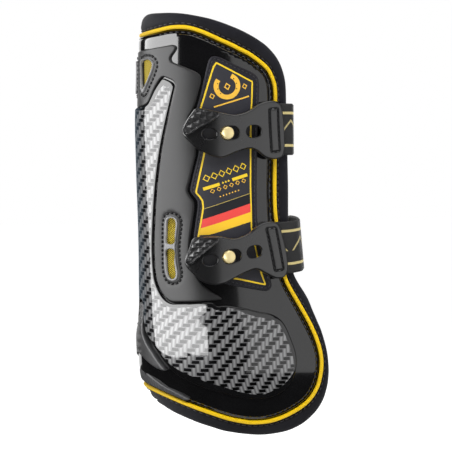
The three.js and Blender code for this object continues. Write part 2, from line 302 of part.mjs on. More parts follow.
// ---------------------------------------------------------------- straps
function rails(hinge, start, edge, bow, zt, zb, d) {
  // top and bottom rail of the elastic, from the outer-side hinge round the front to the inner-side one
  const make = (h, es, z) => {
    const pts = [], s0 = h[0] + start;
    const k = 3; for (let i = 0; i < k; i++) { const s = s0 + (es - s0) * i / k; pts.push(P(s, z, d)); }
    const a = P(es, z, d), t = P(es + 1, z, d).sub(P(es - 1, z, d)); t.z = 0; t.normalize();
    const b = a.clone(); b.y = -b.y; const a1 = a.clone().addScaledVector(t, bow), b1 = new THREE.Vector3(a1.x, -a1.y, a1.z);
    const cv = new THREE.CubicBezierCurve3(a, a1, b1, b);
    for (let i = 0; i <= 12; i++) pts.push(cv.getPoint(i / 12));
    for (let i = k - 1; i >= 0; i--) { const s = s0 + (es - s0) * i / k, p = P(s, z, d); p.y = -p.y; pts.push(p); }
    return pts;
  };
  return [make(hinge[0], edge[0], zt), make(hinge[1], edge[1], zb)];
}
function strap([top, bot], rise, half) {
  const n = top.length, rings = [];
  for (let i = 0; i < n; i++) {
    const w = Math.sin(Math.PI * i / (n - 1)); top[i].z += rise * w * w; bot[i].z += rise * w * w;
  }
  for (let i = 0; i < n; i++) {
    const a = top[Math.max(i - 1, 0)].clone().add(bot[Math.max(i - 1, 0)]), b = top[Math.min(i + 1, n - 1)].clone().add(bot[Math.min(i + 1, n - 1)]);
    const t = b.sub(a).normalize(), up = top[i].clone().sub(bot[i]).normalize(), N = new THREE.Vector3().crossVectors(up, t).normalize();
    rings.push([top[i].clone().addScaledVector(N, half), bot[i].clone().addScaledVector(N, half), bot[i].clone().addScaledVector(N, -half), top[i].clone().addScaledVector(N, -half)]);
  }
  return loft(rings);
}
const dm = (LAYERS.elastic[0] + LAYERS.elastic[1]) / 2, th = (LAYERS.elastic[1] - LAYERS.elastic[0]) / 2;
add('upper_elastic', strap(rails(UPPER_HINGE, 0.5, [UPPER_EDGE_S, UPPER_EDGE_S], UPPER_BOW, UPPER_HINGE[0][1], UPPER_HINGE[1][1], dm), 0, th), M.elastic);
add('lower_elastic', strap(rails(LOWER_HINGE, 0.5, LOWER_EDGE_S, LOWER_BOW, LOWER_HINGE[0][1], LOWER_HINGE[1][1], dm), 2.5, th), M.elastic);
const uEnd = [[80, 69.5], [94.8, 70.5], [94.8, 40.4], [80, 41.2]];
const lEnd = [[79.6, -5], [91.2, -3.2], [96.6, -32.8], [84.8, -33.2]];
const uAnchor = [[76, 71.4], [94.8, 71.4], [94.8, 39.6], [76, 39.6]];
const lAnchor = [[74, -3.4], [91.5, -2.2], [96.9, -33.2], [79.4, -32.4]];
add('upper_tab_elastic_end', plate(region(uEnd), ...LAYERS.elastic), M.elastic);
add('lower_tab_elastic_end', plate(region(lEnd), ...LAYERS.elastic), M.elastic);
add('upper_elastic_anchor', plate(region(mirror(uAnchor)), ...LAYERS.elastic), M.elastic);
add('lower_elastic_anchor', plate(region(mirror(lAnchor)), ...LAYERS.elastic), M.elastic);

const slots = (list, tilt) => list.map((c, i) => (i === 1 ? ring(c, SLOT.hookedHalf, SLOT.hookedR, tilt) : ring(c, c[2] ?? SLOT.half, c[3] ?? SLOT.r, tilt)));
const TAB_COL = [37.4, 45.6, 52.7, 59.5, 67.4, 74.1, 81.8, 89.2];   // fold lines clear of the slots' ends
add('upper_tab', plate(region(UTAB, slots(UPPER_SLOTS, UPPER_TILT), TAB_COL, [45.6, 60.6]), ...LAYERS.tab), M.tab);
add('lower_tab', plate(region(LTAB, slots(LOWER_SLOTS, LOWER_TILT), TAB_COL, [-31.2, -12.3]), ...LAYERS.tab), M.tab);
add('upper_tab_grip', plate(region(UGRIP), ...LAYERS.grip), M.tab);
add('lower_tab_grip', plate(region(LGRIP), ...LAYERS.grip), M.tab);

export default part;
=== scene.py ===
# The looks of the tendon boot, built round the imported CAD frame. Outlines are in millimetres, drawn flat as
# (s, z): s = arc length round the leg from the back centre (+ outer side), z = height; d = distance out of
# the shell's inside face. Everything is laid on the same leg surface that the CAD solids use.
import bpy
import math
import numpy as np
from mathutils import Vector, Matrix
from mathutils.geometry import delaunay_2d_cdt


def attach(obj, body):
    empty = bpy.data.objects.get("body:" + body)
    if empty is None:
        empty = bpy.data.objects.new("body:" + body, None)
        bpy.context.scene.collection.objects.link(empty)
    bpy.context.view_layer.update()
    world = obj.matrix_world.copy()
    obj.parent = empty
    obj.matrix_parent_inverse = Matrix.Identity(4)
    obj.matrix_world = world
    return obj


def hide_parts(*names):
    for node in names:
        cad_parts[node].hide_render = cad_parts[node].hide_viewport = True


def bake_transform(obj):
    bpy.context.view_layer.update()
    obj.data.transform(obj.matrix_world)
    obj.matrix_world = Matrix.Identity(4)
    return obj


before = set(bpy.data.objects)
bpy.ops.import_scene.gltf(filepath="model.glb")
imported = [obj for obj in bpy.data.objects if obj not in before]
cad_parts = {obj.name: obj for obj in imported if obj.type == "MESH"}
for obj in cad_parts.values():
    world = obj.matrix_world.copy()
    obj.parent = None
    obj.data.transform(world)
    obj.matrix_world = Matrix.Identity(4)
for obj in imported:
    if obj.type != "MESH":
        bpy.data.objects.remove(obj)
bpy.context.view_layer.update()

ZA = [-145, -130, -118, -105.6, -99.4, -92.5, -83, -78.8, -72.6, -63.2, -54, -44, -20, 0, 20, 43, 60, 74, 100, 145]
TA = [24.5, 27.0, 29.0, 31.6, 33.3, 34.4, 34.8, 35.1, 35.2, 34.0, 33.3, 33.5, 33.8, 34.3, 35.1, 35.8, 36.2, 35.9, 35.5, 35.1]
ZB = [-145, -130, -115, -105, -95, -86, -78, -70, -62, -54, -44, -20, 0, 20, 50, 80, 112, 145]
TB = [30.0, 33.2, 35.9, 37.6, 39.5, 40.2, 40.2, 39.4, 37.8, 36.0, 34.5, 32.2, 31.0, 30.5, 30.3, 30.3, 30.6, 31.2]
TF = [150, 150, 150, 150, 150, 149, 146, 138, 129, 119, 110, 98, 92, 88, 86, 85, 84, 84]
LINER = [[0, 127.3], [8, 127.1], [15.9, 126.7], [24.4, 126.3], [32.8, 125.5], [43.4, 123.7], [49.9, 122.4], [56.3, 120.7], [62.8, 118.6], [69.3, 116.3], [76, 113.4], [81.5, 110.6], [86.4, 107.6], [89.9, 104.7], [93.5, 101], [96.4, 96.8], [98.6, 91.9], [100.2, 86.4], [100.9, 80.2], [101.2, 72.7], [101.9, 55.3], [102, 39.3], [102, 20], [101.4, 0], [101.9, -13], [103, -24], [105.1, -33.7], [108.1, -38.9], [112.7, -45.2], [115.8, -50.1], [118.8, -56.1], [122.6, -62.3], [126.6, -68.5], [129.3, -74.8], [130.9, -81.2], [131.6, -87.6], [131.4, -94.1], [129.5, -100.6], [126.3, -106.9], [122.4, -113.1], [116.8, -119.2], [108.7, -125.2], [103.3, -128], [95.2, -130.7], [85.6, -132], [76.3, -132.2], [66.8, -131], [59.4, -129.5], [52.8, -127.8], [47.2, -125.5], [39.8, -122.9], [29.8, -119.4], [17.5, -116.5], [8, -115.3], [0, -115]]
PIPE = [[0, 114.3], [6, 114.4], [11, 114.8], [19.1, 115.8], [25.7, 116.8], [31.8, 117], [37.5, 116.3], [43.2, 114.5], [48.9, 112.1], [54.9, 109.5], [61.2, 107], [67.6, 104.1], [74.1, 101.1], [80.7, 96.9], [83.8, 94.5], [86.5, 91.9], [88.9, 87.6], [90.7, 82.8], [91.3, 77.8], [91.4, 73.5], [91.5, 55], [90.8, 36.5], [90.2, 18], [90.2, 5.7], [90.9, -1.8], [92.5, -16], [94.6, -28.3], [97.5, -36.6], [99.4, -40.4], [104.4, -48.2], [110.4, -56.8], [117.4, -65.9], [122, -73.3], [124.5, -80.4], [125.2, -87.7], [124.2, -93.7], [121.6, -99.7], [117.2, -105.6], [110.9, -111.4], [104.7, -115.1], [97.3, -118.4], [90.1, -120.8], [83.3, -122.2], [76.7, -122.6], [70.4, -122.2], [64.3, -120.9], [58.4, -119.2], [52.7, -117], [47.5, -114.6], [42.6, -112.4], [37.4, -110.3], [31.8, -108.2], [25.5, -106.2], [17.7, -104.4], [8, -103.3], [0, -103]]
FRAME = [[0, 104.2], [9.2, 104.4], [19.2, 105.2], [24.1, 105.8], [28, 106.2], [29.6, 105.3], [29.8, 104.1], [28.8, 102], [27.1, 99.7], [26.4, 97.9], [27, 96.2], [29.4, 94.9], [35.7, 92.2], [41.6, 89.2], [43.5, 87.4], [43.9, 85.3], [42.2, 76.3], [39.7, 66.6], [37.3, 61.2], [41, 55], [41.2, 41.3], [39.3, 32.9], [37.3, 24.4], [35.9, 18], [37.4, 14.4], [39.2, 11.4], [39.5, 8.1], [38.4, -1], [37.4, -9.4], [37.1, -17.9], [38.5, -26.9], [41.5, -33], [45, -38.5], [50.3, -43.1], [56.5, -47.6], [50, -48.5], [33.4, -49.3], [28.1, -49.3], [24.5, -47.4], [20.7, -43.5], [17, -36.4], [15.4, -27.6], [14.8, -15.4], [15.6, 0], [17.4, 17.1], [19.4, 31.1], [21.9, 45.1], [25, 58.9], [28.3, 74.5], [29.4, 80], [29.5, 81.9], [28.1, 84.2], [24.3, 86.2], [22, 86.9], [19.2, 84.2], [16.1, 79.4], [13.2, 74], [11.3, 71.3], [7.3, 69.7], [4, 69.3], [0, 69.2]]
CARBON = [[0, 68.4], [4, 68.5], [7.6, 69], [11.8, 70.6], [13.8, 73.6], [16.7, 79], [19.7, 83.4], [22.1, 86], [24, 85.4], [27.6, 83.4], [28.7, 81.7], [28.6, 80], [27.4, 74.6], [24.1, 59], [21, 45.2], [18.5, 31.2], [16.5, 17.2], [14.7, 0], [13.9, -15.4], [14.5, -27.8], [16.1, -36.9], [19.9, -44.2], [23.8, -48.3], [28.2, -50.2], [33.4, -50.1], [51.3, -49.6], [53.7, -51.6], [58.6, -51.4], [68.4, -52.9], [81.2, -56.2], [88.8, -57.8], [95.1, -60.9], [99.9, -65.4], [105, -73.5], [107.7, -80.5], [108.2, -86.4], [107.2, -91.8], [104.1, -97.5], [99.7, -101.6], [93.4, -105.2], [86.3, -107.3], [78.5, -107.8], [70.5, -106.6], [61.9, -104.2], [53.8, -101.1], [46.7, -98.3], [40.8, -95.3], [35.3, -92.8], [30.5, -89.2], [25.7, -84.6], [21.2, -79.8], [14.7, -74], [9.5, -69.5], [6.6, -64], [5.2, -58], [4.4, -53], [3, -50.6], [0, -50.4]]
WING = [[0, -51.6], [2.4, -52], [3.2, -55.2], [4.4, -62.9], [7, -69.9], [12.9, -75.6], [17.4, -79.2], [22.3, -84.2], [27.8, -89.9], [22.8, -89.6], [18.6, -88.5], [11.4, -86], [5.8, -84.2], [0, -83.3]]
BAND = [[0, -91.6], [8.1, -93.1], [14.1, -94.4], [19.3, -95.9], [26.6, -99.5], [31.3, -101.8], [36.2, -104.6], [38.6, -106.3], [36, -107], [31.8, -105.4], [25.5, -103.3], [17.7, -101.5], [8, -100.3], [0, -100]]
LABEL = [[49.4, 98.5], [50.8, 99.3], [54, 98.9], [64.9, 94.3], [76.2, 89.6], [78.8, 87.3], [79.8, 85.1], [79.9, 71.4], [79.5, 54.9], [78.7, 40.8], [78, 20.6], [77.8, 2.8], [78.3, -2.7], [81, -15.7], [85.3, -30.4], [87.7, -38.2], [88, -41.5], [85.8, -43.5], [83.5, -43.6], [74, -41.9], [63.6, -39.7], [52, -36.2], [45.5, -31], [41.2, -25], [38.9, -15], [39.2, -8.7], [40, -1], [41.3, 8.7], [41, 12], [38.9, 15.1], [37.4, 17.7], [38.5, 24.2], [40.6, 32.9], [42.5, 41.3], [42.5, 55.6], [39.3, 61.8], [41.2, 67], [43.7, 76], [45.6, 85.3], [48.2, 96.5]]
UTAB = [[55.5, 64.9], [64.1, 64], [72.2, 66.8], [77.5, 70.5], [83, 72.3], [88.7, 72.5], [91.6, 70.7], [93.2, 66.5], [94.2, 60], [94.6, 53.8], [94.4, 43.8], [92.8, 38.6], [87.1, 36.9], [81.4, 38.2], [76, 42.1], [72, 43.4], [65.1, 41.8], [54.5, 37.9], [49.7, 38.5], [45.9, 40.4], [41.7, 43], [38, 47.2], [35.4, 50.5], [34.6, 54.5], [36.6, 60], [39, 64.5], [41.5, 67.5], [47, 67]]
UGRIP = [[34.9, 54.3], [36.7, 59.7], [39, 64.2], [41.2, 67.3], [46.8, 66.7], [52.7, 64.9], [52.2, 62.4], [49.2, 59.6], [42.3, 55], [36.5, 51.3]]
LTAB = [[53.1, -9.9], [61.7, -11.3], [69.7, -8.5], [76.5, -3.4], [82.1, -1.5], [87.7, -2], [90.6, -5.7], [92.2, -10.6], [94.2, -18.1], [95.4, -23.9], [95.9, -31.3], [93.8, -35.8], [88.6, -36.4], [81.6, -33.2], [75.5, -30.3], [69.7, -31.9], [61.6, -35.7], [56, -38.4], [49.9, -39.1], [45, -37.2], [40, -32.3], [36.3, -27.5], [35.5, -24.5], [37, -18.5], [39.5, -11.5], [46, -9.8]]
LGRIP = [[36.3, -25.4], [36.8, -21.4], [38, -15.6], [39.7, -10.6], [46.1, -10.2], [51.6, -10.8], [51.4, -12.6], [49.1, -15.5], [43.6, -21.2], [38.6, -26.4]]
SVENT = [[22.9, -1], [23.8, 1.7], [26.8, 2.7], [29.6, 1.6], [30.7, -1], [30.2, -8.8], [29.7, -16.1], [30.4, -25.2], [31.7, -32.4], [31.1, -35.7], [28.9, -36.8], [25.8, -35.9], [23.6, -31.4], [22.9, -25.4], [22.7, -16.3], [22.6, -9]]
SWIN = [[[24.7, -1.4], [25.4, 0.5], [27, 1], [28.4, 0.2], [28.9, -1.6], [28.5, -8.8], [28.2, -13.6], [24.6, -13.6], [24.5, -9]], [[24.6, -18.2], [28.2, -18.2], [28.7, -25.6], [29.8, -32.2], [29.5, -34.4], [28.7, -35], [26.7, -34.4], [25.3, -31], [24.7, -25.2]]]
RVENT = [[4.3, 96.8], [5.6, 98.6], [10.5, 99], [14.4, 98], [16.6, 95.3], [15.8, 91], [13.6, 86.2], [10.8, 81.4], [8.7, 78], [7, 77.4], [5.6, 79.2], [4.7, 88]]
RWIN = [[5.9, 96], [6.8, 97], [10.4, 97.3], [13.5, 96.5], [14.7, 94.9], [14, 91.6], [12, 87.2], [9.6, 83.1], [8.1, 80.9], [7.2, 81.4], [6.3, 88.2]]
RMESH = [[5.7, 95.6], [6.7, 96.6], [10.4, 96.9], [13.2, 96.1], [14.3, 94.8], [13.6, 91.8], [11.6, 87.5], [9.2, 83.4], [7.9, 81.6], [7.2, 82.2], [6.4, 88.2]]
GEL = [[9, 84], [30, 84], [34, 78], [34, -34], [28, -42], [14, -42], [9, -36]]
YLINE = [[52.5,95.3],[75.3,84.3],[75.2,76.2],[75,68.7],[74.3,43.2],[73.7,20.6],[73.9,-5.2],[77.1,-19.2],[80.9,-33.1],[83.8,-39.9],[66,-35.8],[52.6,-33.4],[46.6,-30.2],[42.9,-24.8],[42.0,-21],[41.2,-14.9],[41.9,-8.4],[43.4,1.1],[44.4,7.7],[44.1,11.7],[42.8,14.1],[40.6,16.9],[41.8,22.6],[45.7,40.5],[43.4,51.5],[42.6,57.0],[42.5,61.8],[44.3,69.3],[48.3,84.2],[50.8,92.7]]
WEAVE = [[53.7,-51.7],[63.1,-53.6],[75.1,-58],[85.2,-60.4],[92.7,-62.5],[97.5,-67],[101.7,-73.4],[104.4,-79.7],[106,-87.5],[105.4,-91.6],[101.7,-96.1],[95.5,-100.4],[88.9,-102.8],[81.9,-104.7],[75.7,-104],[67.6,-101.8],[60.3,-98.9],[53.5,-96.3],[47.6,-93.9],[41.4,-91.2],[35.7,-88.7],[30.8,-85.9],[26,-81.8],[22.3,-77.8],[16.8,-73.7],[11,-70.5],[5.2,-68.4],[0.1,-63.3]]
GROOVE = [[31.1,113],[37.5,112.3],[43.2,110.5],[48.9,107.9],[55,105.3],[61.3,102.7],[67.7,99.9],[74.2,96.7],[79.5,92.9],[82.9,89.6],[84.9,86.3],[86.3,82],[86.8,76.5],[87,55],[86.3,33.4],[85.7,18],[85.8,4.5],[86.3,-3.5]]
UPPER_SLOTS, UPPER_TILT = [[48.0, 52.1, 4.1, 3.6], [59.6, 52.8, 6.1, 4.3], [74.4, 53.8, 5.2, 4.0]], 3.5
LOWER_SLOTS, LOWER_TILT = [[48.0, -24.2, 4.1, 3.6], [59.9, -22.1, 6.1, 4.3], [73.9, -19.7, 5.2, 4.0]], 9.7
UPPER_STUD, LOWER_STUD = (57.9, 52.7), (58.0, -22.4)
URECT = [[83.9,67.9],[89.9,68.5],[91,41.9],[85.1,41.2]]
LRECT = [[80.8,-5.3],[87.4,-4.9],[93,-31.1],[87,-31.9]]

# ------------------------------------------------------------------ leg surface
def hermite(tx, ty):
    tx, ty = np.array(tx, float), np.array(ty, float)
    h, dl, m = np.diff(tx), np.diff(ty) / np.diff(tx), np.zeros(len(ty))
    for i in range(1, len(tx) - 1):
        m[i] = 0 if dl[i-1] * dl[i] < 0 else (h[i] * dl[i-1] + h[i-1] * dl[i]) / (h[i] + h[i-1])
    m[0], m[-1] = dl[0], dl[-1]
    def f(z):
        z = min(max(z, tx[0]), tx[-1]); i = int(np.clip(np.searchsorted(tx, z, side="right") - 1, 0, len(h) - 1))
        t = (z - tx[i]) / h[i]; t2, t3 = t * t, t ** 3
        return (2*t3 - 3*t2 + 1) * ty[i] + (t3 - 2*t2 + t) * h[i] * m[i] + (-2*t3 + 3*t2) * ty[i+1] + (t3 - t2) * h[i] * m[i+1]
    return f

SM, DS, ZM, DZ = 160.0, 0.5, 145.0, 1.0
def surface_tables():
    fa, fb, ff = hermite(ZA, TA), hermite(ZB, TB), hermite(ZB, TF)
    zs, ss = np.arange(-ZM, ZM + .1, DZ), np.arange(0, SM + .1, DS)
    X, Y = np.zeros((len(zs), len(ss))), np.zeros((len(zs), len(ss)))
    for k, z in enumerate(zs):
        a, b, f = fa(z), fb(z), ff(z)
        t = np.linspace(0, np.pi / 2, 400); u = np.linspace(0, 0.75, 700)[1:]
        x = np.concatenate([-a * np.cos(t), f * np.sin(u)]); y = np.concatenate([-b * np.sin(t), -b * np.cos(u)])
        tx, ty = x[-1] - x[-2], y[-1] - y[-2]; tl = math.hypot(tx, ty)
        x, y = np.append(x, x[-1] + tx / tl * 120), np.append(y, y[-1] + ty / tl * 120)
        L = np.concatenate([[0], np.cumsum(np.hypot(np.diff(x), np.diff(y)))])
        X[k], Y[k] = np.interp(ss, L, x), np.interp(ss, L, y)
    X, Y = np.concatenate([X[:, :0:-1], X], 1), np.concatenate([-Y[:, :0:-1], Y], 1)
    def blur(G, sigma, axis):
        n = int(3 * sigma) + 1; k = np.exp(-0.5 * (np.arange(-n, n + 1) / sigma) ** 2); k /= k.sum()
        pad = [(0, 0), (0, 0)]; pad[axis] = (n, n); Q = np.pad(G, pad, mode="reflect", reflect_type="odd")
        return np.apply_along_axis(lambda r: np.convolve(r, k, mode="valid"), axis, Q)
    def soft(G):                                   # takes out kinks, and keeps the shape
        b = blur(blur(G, 4.0 / DZ, 0), 3.5 / DS, 1); return b + (G - b) * 0 + (b - blur(blur(b, 4.0 / DZ, 0), 3.5 / DS, 1))
    X, Y = soft(X), soft(Y)
    Y = 0.5 * (Y - Y[:, ::-1]); X = 0.5 * (X + X[:, ::-1])
    G = np.stack([X, Y, np.repeat(zs[:, None], X.shape[1], 1)], -1)
    N = np.cross(np.gradient(G, DS, axis=1), np.gradient(G, DZ, axis=0))
    return G, N / np.linalg.norm(N, axis=-1, keepdims=True)
SG, SN = surface_tables()
def _bl(T, s, z):
    i = np.clip((np.asarray(s, float) + SM) / DS, 0, SG.shape[1] - 1.001); j = np.clip((np.asarray(z, float) + ZM) / DZ, 0, SG.shape[0] - 1.001)
    i0, j0 = i.astype(int), j.astype(int); u, v = (i - i0)[..., None], (j - j0)[..., None]
    return (T[j0, i0] * (1 - u) + T[j0, i0 + 1] * u) * (1 - v) + (T[j0 + 1, i0] * (1 - u) + T[j0 + 1, i0 + 1] * u) * v
def nrm(s, z):
    n = _bl(SN, s, z); return n / np.linalg.norm(n, axis=-1, keepdims=True)
def P(s, z, d):                                    # millimetres
    s, z = np.broadcast_arrays(np.asarray(s, float), np.asarray(z, float)); return _bl(SG, s, z) + np.broadcast_to(np.asarray(d, float), s.shape)[..., None] * nrm(s, z)
if nrm(0.0, 0.0)[0] > 0:
    SN = -SN
def metres(s, z, d):
    return Vector(P(s, z, d) / 1000.0)

# ------------------------------------------------------------------ flat outlines
def A2(p): return np.array(p, float)
def mirror(p): return A2([[-q[0], q[1]] for q in p][::-1])
def whole(half): return A2(list(half) + [[-q[0], q[1]] for q in half[1:-1]][::-1])
def area2(p): return 0.5 * np.sum(p[:, 0] * np.roll(p[:, 1], -1) - np.roll(p[:, 0], -1) * p[:, 1])
def ccw(p): return p if area2(p) > 0 else p[::-1].copy()
def rom(p, step, closed=True, smooth=True):
    """A smooth curve through the points, cut into equal steps."""
    p = A2(p); n = len(p)
    if smooth and n > 2:
        q = [p[(i) % n] if closed else p[min(max(i, 0), n - 1)] for i in range(-1, n + 2)]
        out = []
        for i in range(1, (n + 1) if closed else n):
            p0, p1, p2, p3 = q[i - 1], q[i], q[i + 1], q[i + 2] if i + 2 < len(q) else q[-1]
            if not closed and i == 1: p0 = 2 * p1 - p2
            if not closed and i == n - 1: p3 = 2 * p2 - p1
            k0, k1, k2 = [max(np.linalg.norm(b - a), 1e-6) ** 0.5 for a, b in ((p0, p1), (p1, p2), (p2, p3))]
            m1 = ((p1 - p0) / k0 - (p2 - p0) / (k0 + k1) + (p2 - p1) / k1) * k1
            m2 = ((p2 - p1) / k1 - (p3 - p1) / (k1 + k2) + (p3 - p2) / k2) * k1
            t = np.linspace(0, 1, max(4, int(np.linalg.norm(p2 - p1) / 0.4)), endpoint=False)[:, None]
            out.append((2*t**3 - 3*t**2 + 1) * p1 + (t**3 - 2*t**2 + t) * m1 + (-2*t**3 + 3*t**2) * p2 + (t**3 - t**2) * m2)
        p = np.concatenate(out + ([] if closed else [p[-1:]]))
    if closed: p = np.concatenate([p, p[:1]])
    L = np.concatenate([[0], np.cumsum(np.linalg.norm(np.diff(p, axis=0), axis=1))]); m = max(3, int(round(L[-1] / step)))
    t = np.linspace(0, L[-1], m + 1); r = np.stack([np.interp(t, L, p[:, c]) for c in range(p.shape[1])], 1)
    return r[:-1] if closed else r
def normals2(p, closed=True):                      # to the left of the direction of travel
    if closed: t = np.roll(p, -1, 0) - np.roll(p, 1, 0)
    else: t = np.gradient(p, axis=0)
    t /= np.maximum(np.linalg.norm(t, axis=1, keepdims=True), 1e-9); return np.stack([-t[:, 1], t[:, 0]], 1)
def inset(p, by, closed=True):                     # closed: inwards
    p = ccw(A2(p)) if closed else A2(p); return p + normals2(p, closed) * by
def dist_to(Q, curves):
    """Distance of each point to the nearest of the polylines, each given as (points, closed)."""
    S0, S1 = [], []
    for c, closed in curves:
        S0.append(c if closed else c[:-1]); S1.append(np.roll(c, -1, 0) if closed else c[1:])
    a, b = np.concatenate(S0), np.concatenate(S1); D = b - a; L = (D ** 2).sum(1) + 1e-12; out = np.empty(len(Q))
    for i in range(0, len(Q), 3000):
        q = Q[i:i + 3000, None, :] - a[None]; t = np.clip((q * D).sum(-1) / L, 0, 1); r = q - t[..., None] * D
        out[i:i + 3000] = np.sqrt((r ** 2).sum(-1).min(1))
    return out
def inside(Q, loops):
    c = np.zeros(len(Q), bool)
    for p in loops:
        x0, y0 = p[:, 0], p[:, 1]; x1, y1 = np.roll(x0, -1), np.roll(y0, -1); dy = np.where(y1 == y0, 1e-12, y1 - y0)
        for i in range(0, len(Q), 4000):
            X, Y = Q[i:i + 4000, :1], Q[i:i + 4000, 1:]
            c[i:i + 4000] ^= (((y0 > Y) != (y1 > Y)) & (X < (x1 - x0) * (Y - y0) / dy + x0)).sum(1) % 2 == 1
    return c

class Region:
    """A flat outline with holes, in fine triangles, finer near its edges and along the given lines."""
    def __init__(self, outline, holes=(), h=2.2, hb=1.0, insets=(0.1, 0.3, 0.7), lines=(), cuts=(), free=None, hh=0.5, raw=False):
        self.loops = [ccw(outline if raw else rom(outline, hb))] + [ccw(rom(q, hh)) for q in holes]
        curves = [(c, True) for c in self.loops]; pts, edges, n = [], [], 0
        for c in self.loops:
            edges += [(n + i, n + (i + 1) % len(c)) for i in range(len(c))]; n += len(c); pts.append(c)
        for c in cuts:                             # inner edges, kept in the mesh
            keep = inside(c, self.loops) & (dist_to(c, curves) > 0.25); idx = {}
            for i in np.nonzero(keep)[0]: idx[i] = n; n += 1
            edges += [(idx[i], idx[i + 1]) for i in range(len(c) - 1) if i in idx and i + 1 in idx]; pts.append(c[keep])
        soft = []
        for k, c in enumerate(self.loops):
            for by in insets:
                q = c + normals2(c) * (by if k == 0 else -by); q = q[inside(q, self.loops)]
                if len(q): soft.append(q[dist_to(q, curves) > 0.92 * by])
        fine = []
        for c, offs, step in lines:
            for o in offs:
                q = rom(c, step, closed=False, smooth=False); q = q + normals2(q, False) * o; q = q[inside(q, self.loops)]
                if len(q): fine.append(q[dist_to(q, curves) > max(insets[-1] if insets else 0.3, 0.3) + 0.15])
        if free is not None and len(free):
            q = A2(free); q = q[inside(q, self.loops)]; fine.append(q[dist_to(q, curves) > max(insets[-1] if insets else 0.3, 0.3) + 0.1])
        lo, hi = self.loops[0].min(0), self.loops[0].max(0)
        gx, gy = np.meshgrid(np.arange(lo[0], hi[0] + h, h), np.arange(lo[1], hi[1] + h, h * 0.866)); gx[1::2] += h / 2
        g = np.stack([gx.ravel(), gy.ravel()], 1); g = g[inside(g, self.loops)]
        if len(g): g = g[dist_to(g, curves) > (insets[-1] if insets else 0) + 0.45 * h]
        near = [(rom(c, 1.0, closed=False, smooth=False), False) for c, offs, step in lines if len(offs)]
        if near and len(g): g = g[dist_to(g, near) > max(abs(o) for _, offs, _ in lines for o in offs) + 0.4 * h]
        if cuts and len(g): g = g[dist_to(g, [(c, False) for c in cuts]) > 0.4 * h]
        pts = np.concatenate(pts + soft + fine + [g])
        key = np.round(pts / 0.04).astype(np.int64); _, first = np.unique(key[n:], axis=0, return_index=True)
        pts = np.concatenate([pts[:n], pts[n:][np.sort(first)]])
        v, e, f, *_ = delaunay_2d_cdt([Vector(p) for p in pts], edges, [], 0, 1e-5)
        self.v = np.array([tuple(p) for p in v]); f = np.array([t for t in f if len(t) == 3])
        c = self.v[f].mean(1); f = f[inside(c, self.loops)]
        p, q, r = self.v[f[:, 0]], self.v[f[:, 1]], self.v[f[:, 2]]
        ar = (q[:, 0] - p[:, 0]) * (r[:, 1] - p[:, 1]) - (q[:, 1] - p[:, 1]) * (r[:, 0] - p[:, 0])
        f[ar < 0] = f[ar < 0][:, ::-1]; f = f[np.abs(ar) > 1e-9]
        used = np.unique(f); remap = -np.ones(len(self.v), int); remap[used] = np.arange(len(used)); self.v = self.v[used]; self.t = remap[f]
        self.dist = dist_to(self.v, curves); self.dist[self.dist < 1e-4] = 0
        E = np.concatenate([self.t[:, [0, 1]], self.t[:, [1, 2]], self.t[:, [2, 0]]]); have = set(map(tuple, E))
        self.edge = [(a, b) for a, b in have if (b, a) not in have]

def rnd(dist, r):                                  # how far a rounded edge of radius r drops
    x = np.clip(dist, 0, r); return r - np.sqrt(np.maximum(r * r - (r - x) ** 2, 0))
def rings(r):                                      # insets that sample rnd evenly
    return tuple(r * (1 - math.cos(a)) for a in (0.35, 0.7, 1.05, 1.35)) + (r * 1.05,)
def bump(x, w): return np.exp(-(x / w) ** 2)
def step01(x): x = np.clip(x, 0, 1); return x * x * (3 - 2 * x)

# ------------------------------------------------------------------ meshes
PIECES = {}
def add(name, V, F, mats, body=None, uv=None, fmat=None, sharp=40):
    me = bpy.data.meshes.new(name); me.from_pydata((np.asarray(V) / 1000.0).tolist(), [], [tuple(int(i) for i in f) for f in F]); me.validate()
    for m in (mats if isinstance(mats, (list, tuple)) else [mats]): me.materials.append(m)
    if fmat is not None and len(fmat) == len(me.polygons): me.polygons.foreach_set("material_index", np.asarray(fmat, np.int32))
    if uv is not None:
        idx = np.empty(len(me.loops), np.int32); me.loops.foreach_get("vertex_index", idx)
        me.uv_layers.new(name="flat").data.foreach_set("uv", np.asarray(uv, np.float32)[idx].ravel())
    me.polygons.foreach_set("use_smooth", np.ones(len(me.polygons), bool))
    if sharp: me.set_sharp_from_angle(angle=math.radians(sharp))
    me.calc_loop_triangles(); tv = np.empty(len(me.loop_triangles) * 3, np.int32); me.loop_triangles.foreach_get("vertices", tv); X = np.asarray(V, float)[tv.reshape(-1, 3)]
    if np.einsum("ij,ij->i", X[:, 0], np.cross(X[:, 1], X[:, 2])).sum() < 0: me.flip_normals()
    me.update(); o = bpy.data.objects.new(name, me); bpy.context.scene.collection.objects.link(o)
    PIECES[name] = o
    if body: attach(o, body)
    return o
def solid(name, reg, top, bot, mats, body="root", face_mat=None, sharp=40):
    """A closed solid over a region, between two distances from the shell's inside face."""
    s, z, D = reg.v[:, 0], reg.v[:, 1], reg.dist; n = len(s)
    dt = np.broadcast_to(np.asarray(top(s, z, D), float), s.shape); db = np.broadcast_to(np.asarray(bot(s, z, D), float), s.shape)
    V = np.concatenate([P(s, z, dt), P(s, z, db)]); F = [tuple(t) for t in reg.t] + [(t[2] + n, t[1] + n, t[0] + n) for t in reg.t]
    F += [(b, a, a + n, b + n) for a, b in reg.edge]
    fm = None
    if face_mat is not None:
        c = reg.v[reg.t].mean(1); m = face_mat(c[:, 0], c[:, 1]); fm = np.concatenate([m, m, np.zeros(len(reg.edge), int)])
    return add(name, V, F, mats, body, np.concatenate([reg.v, reg.v]), fm, sharp)
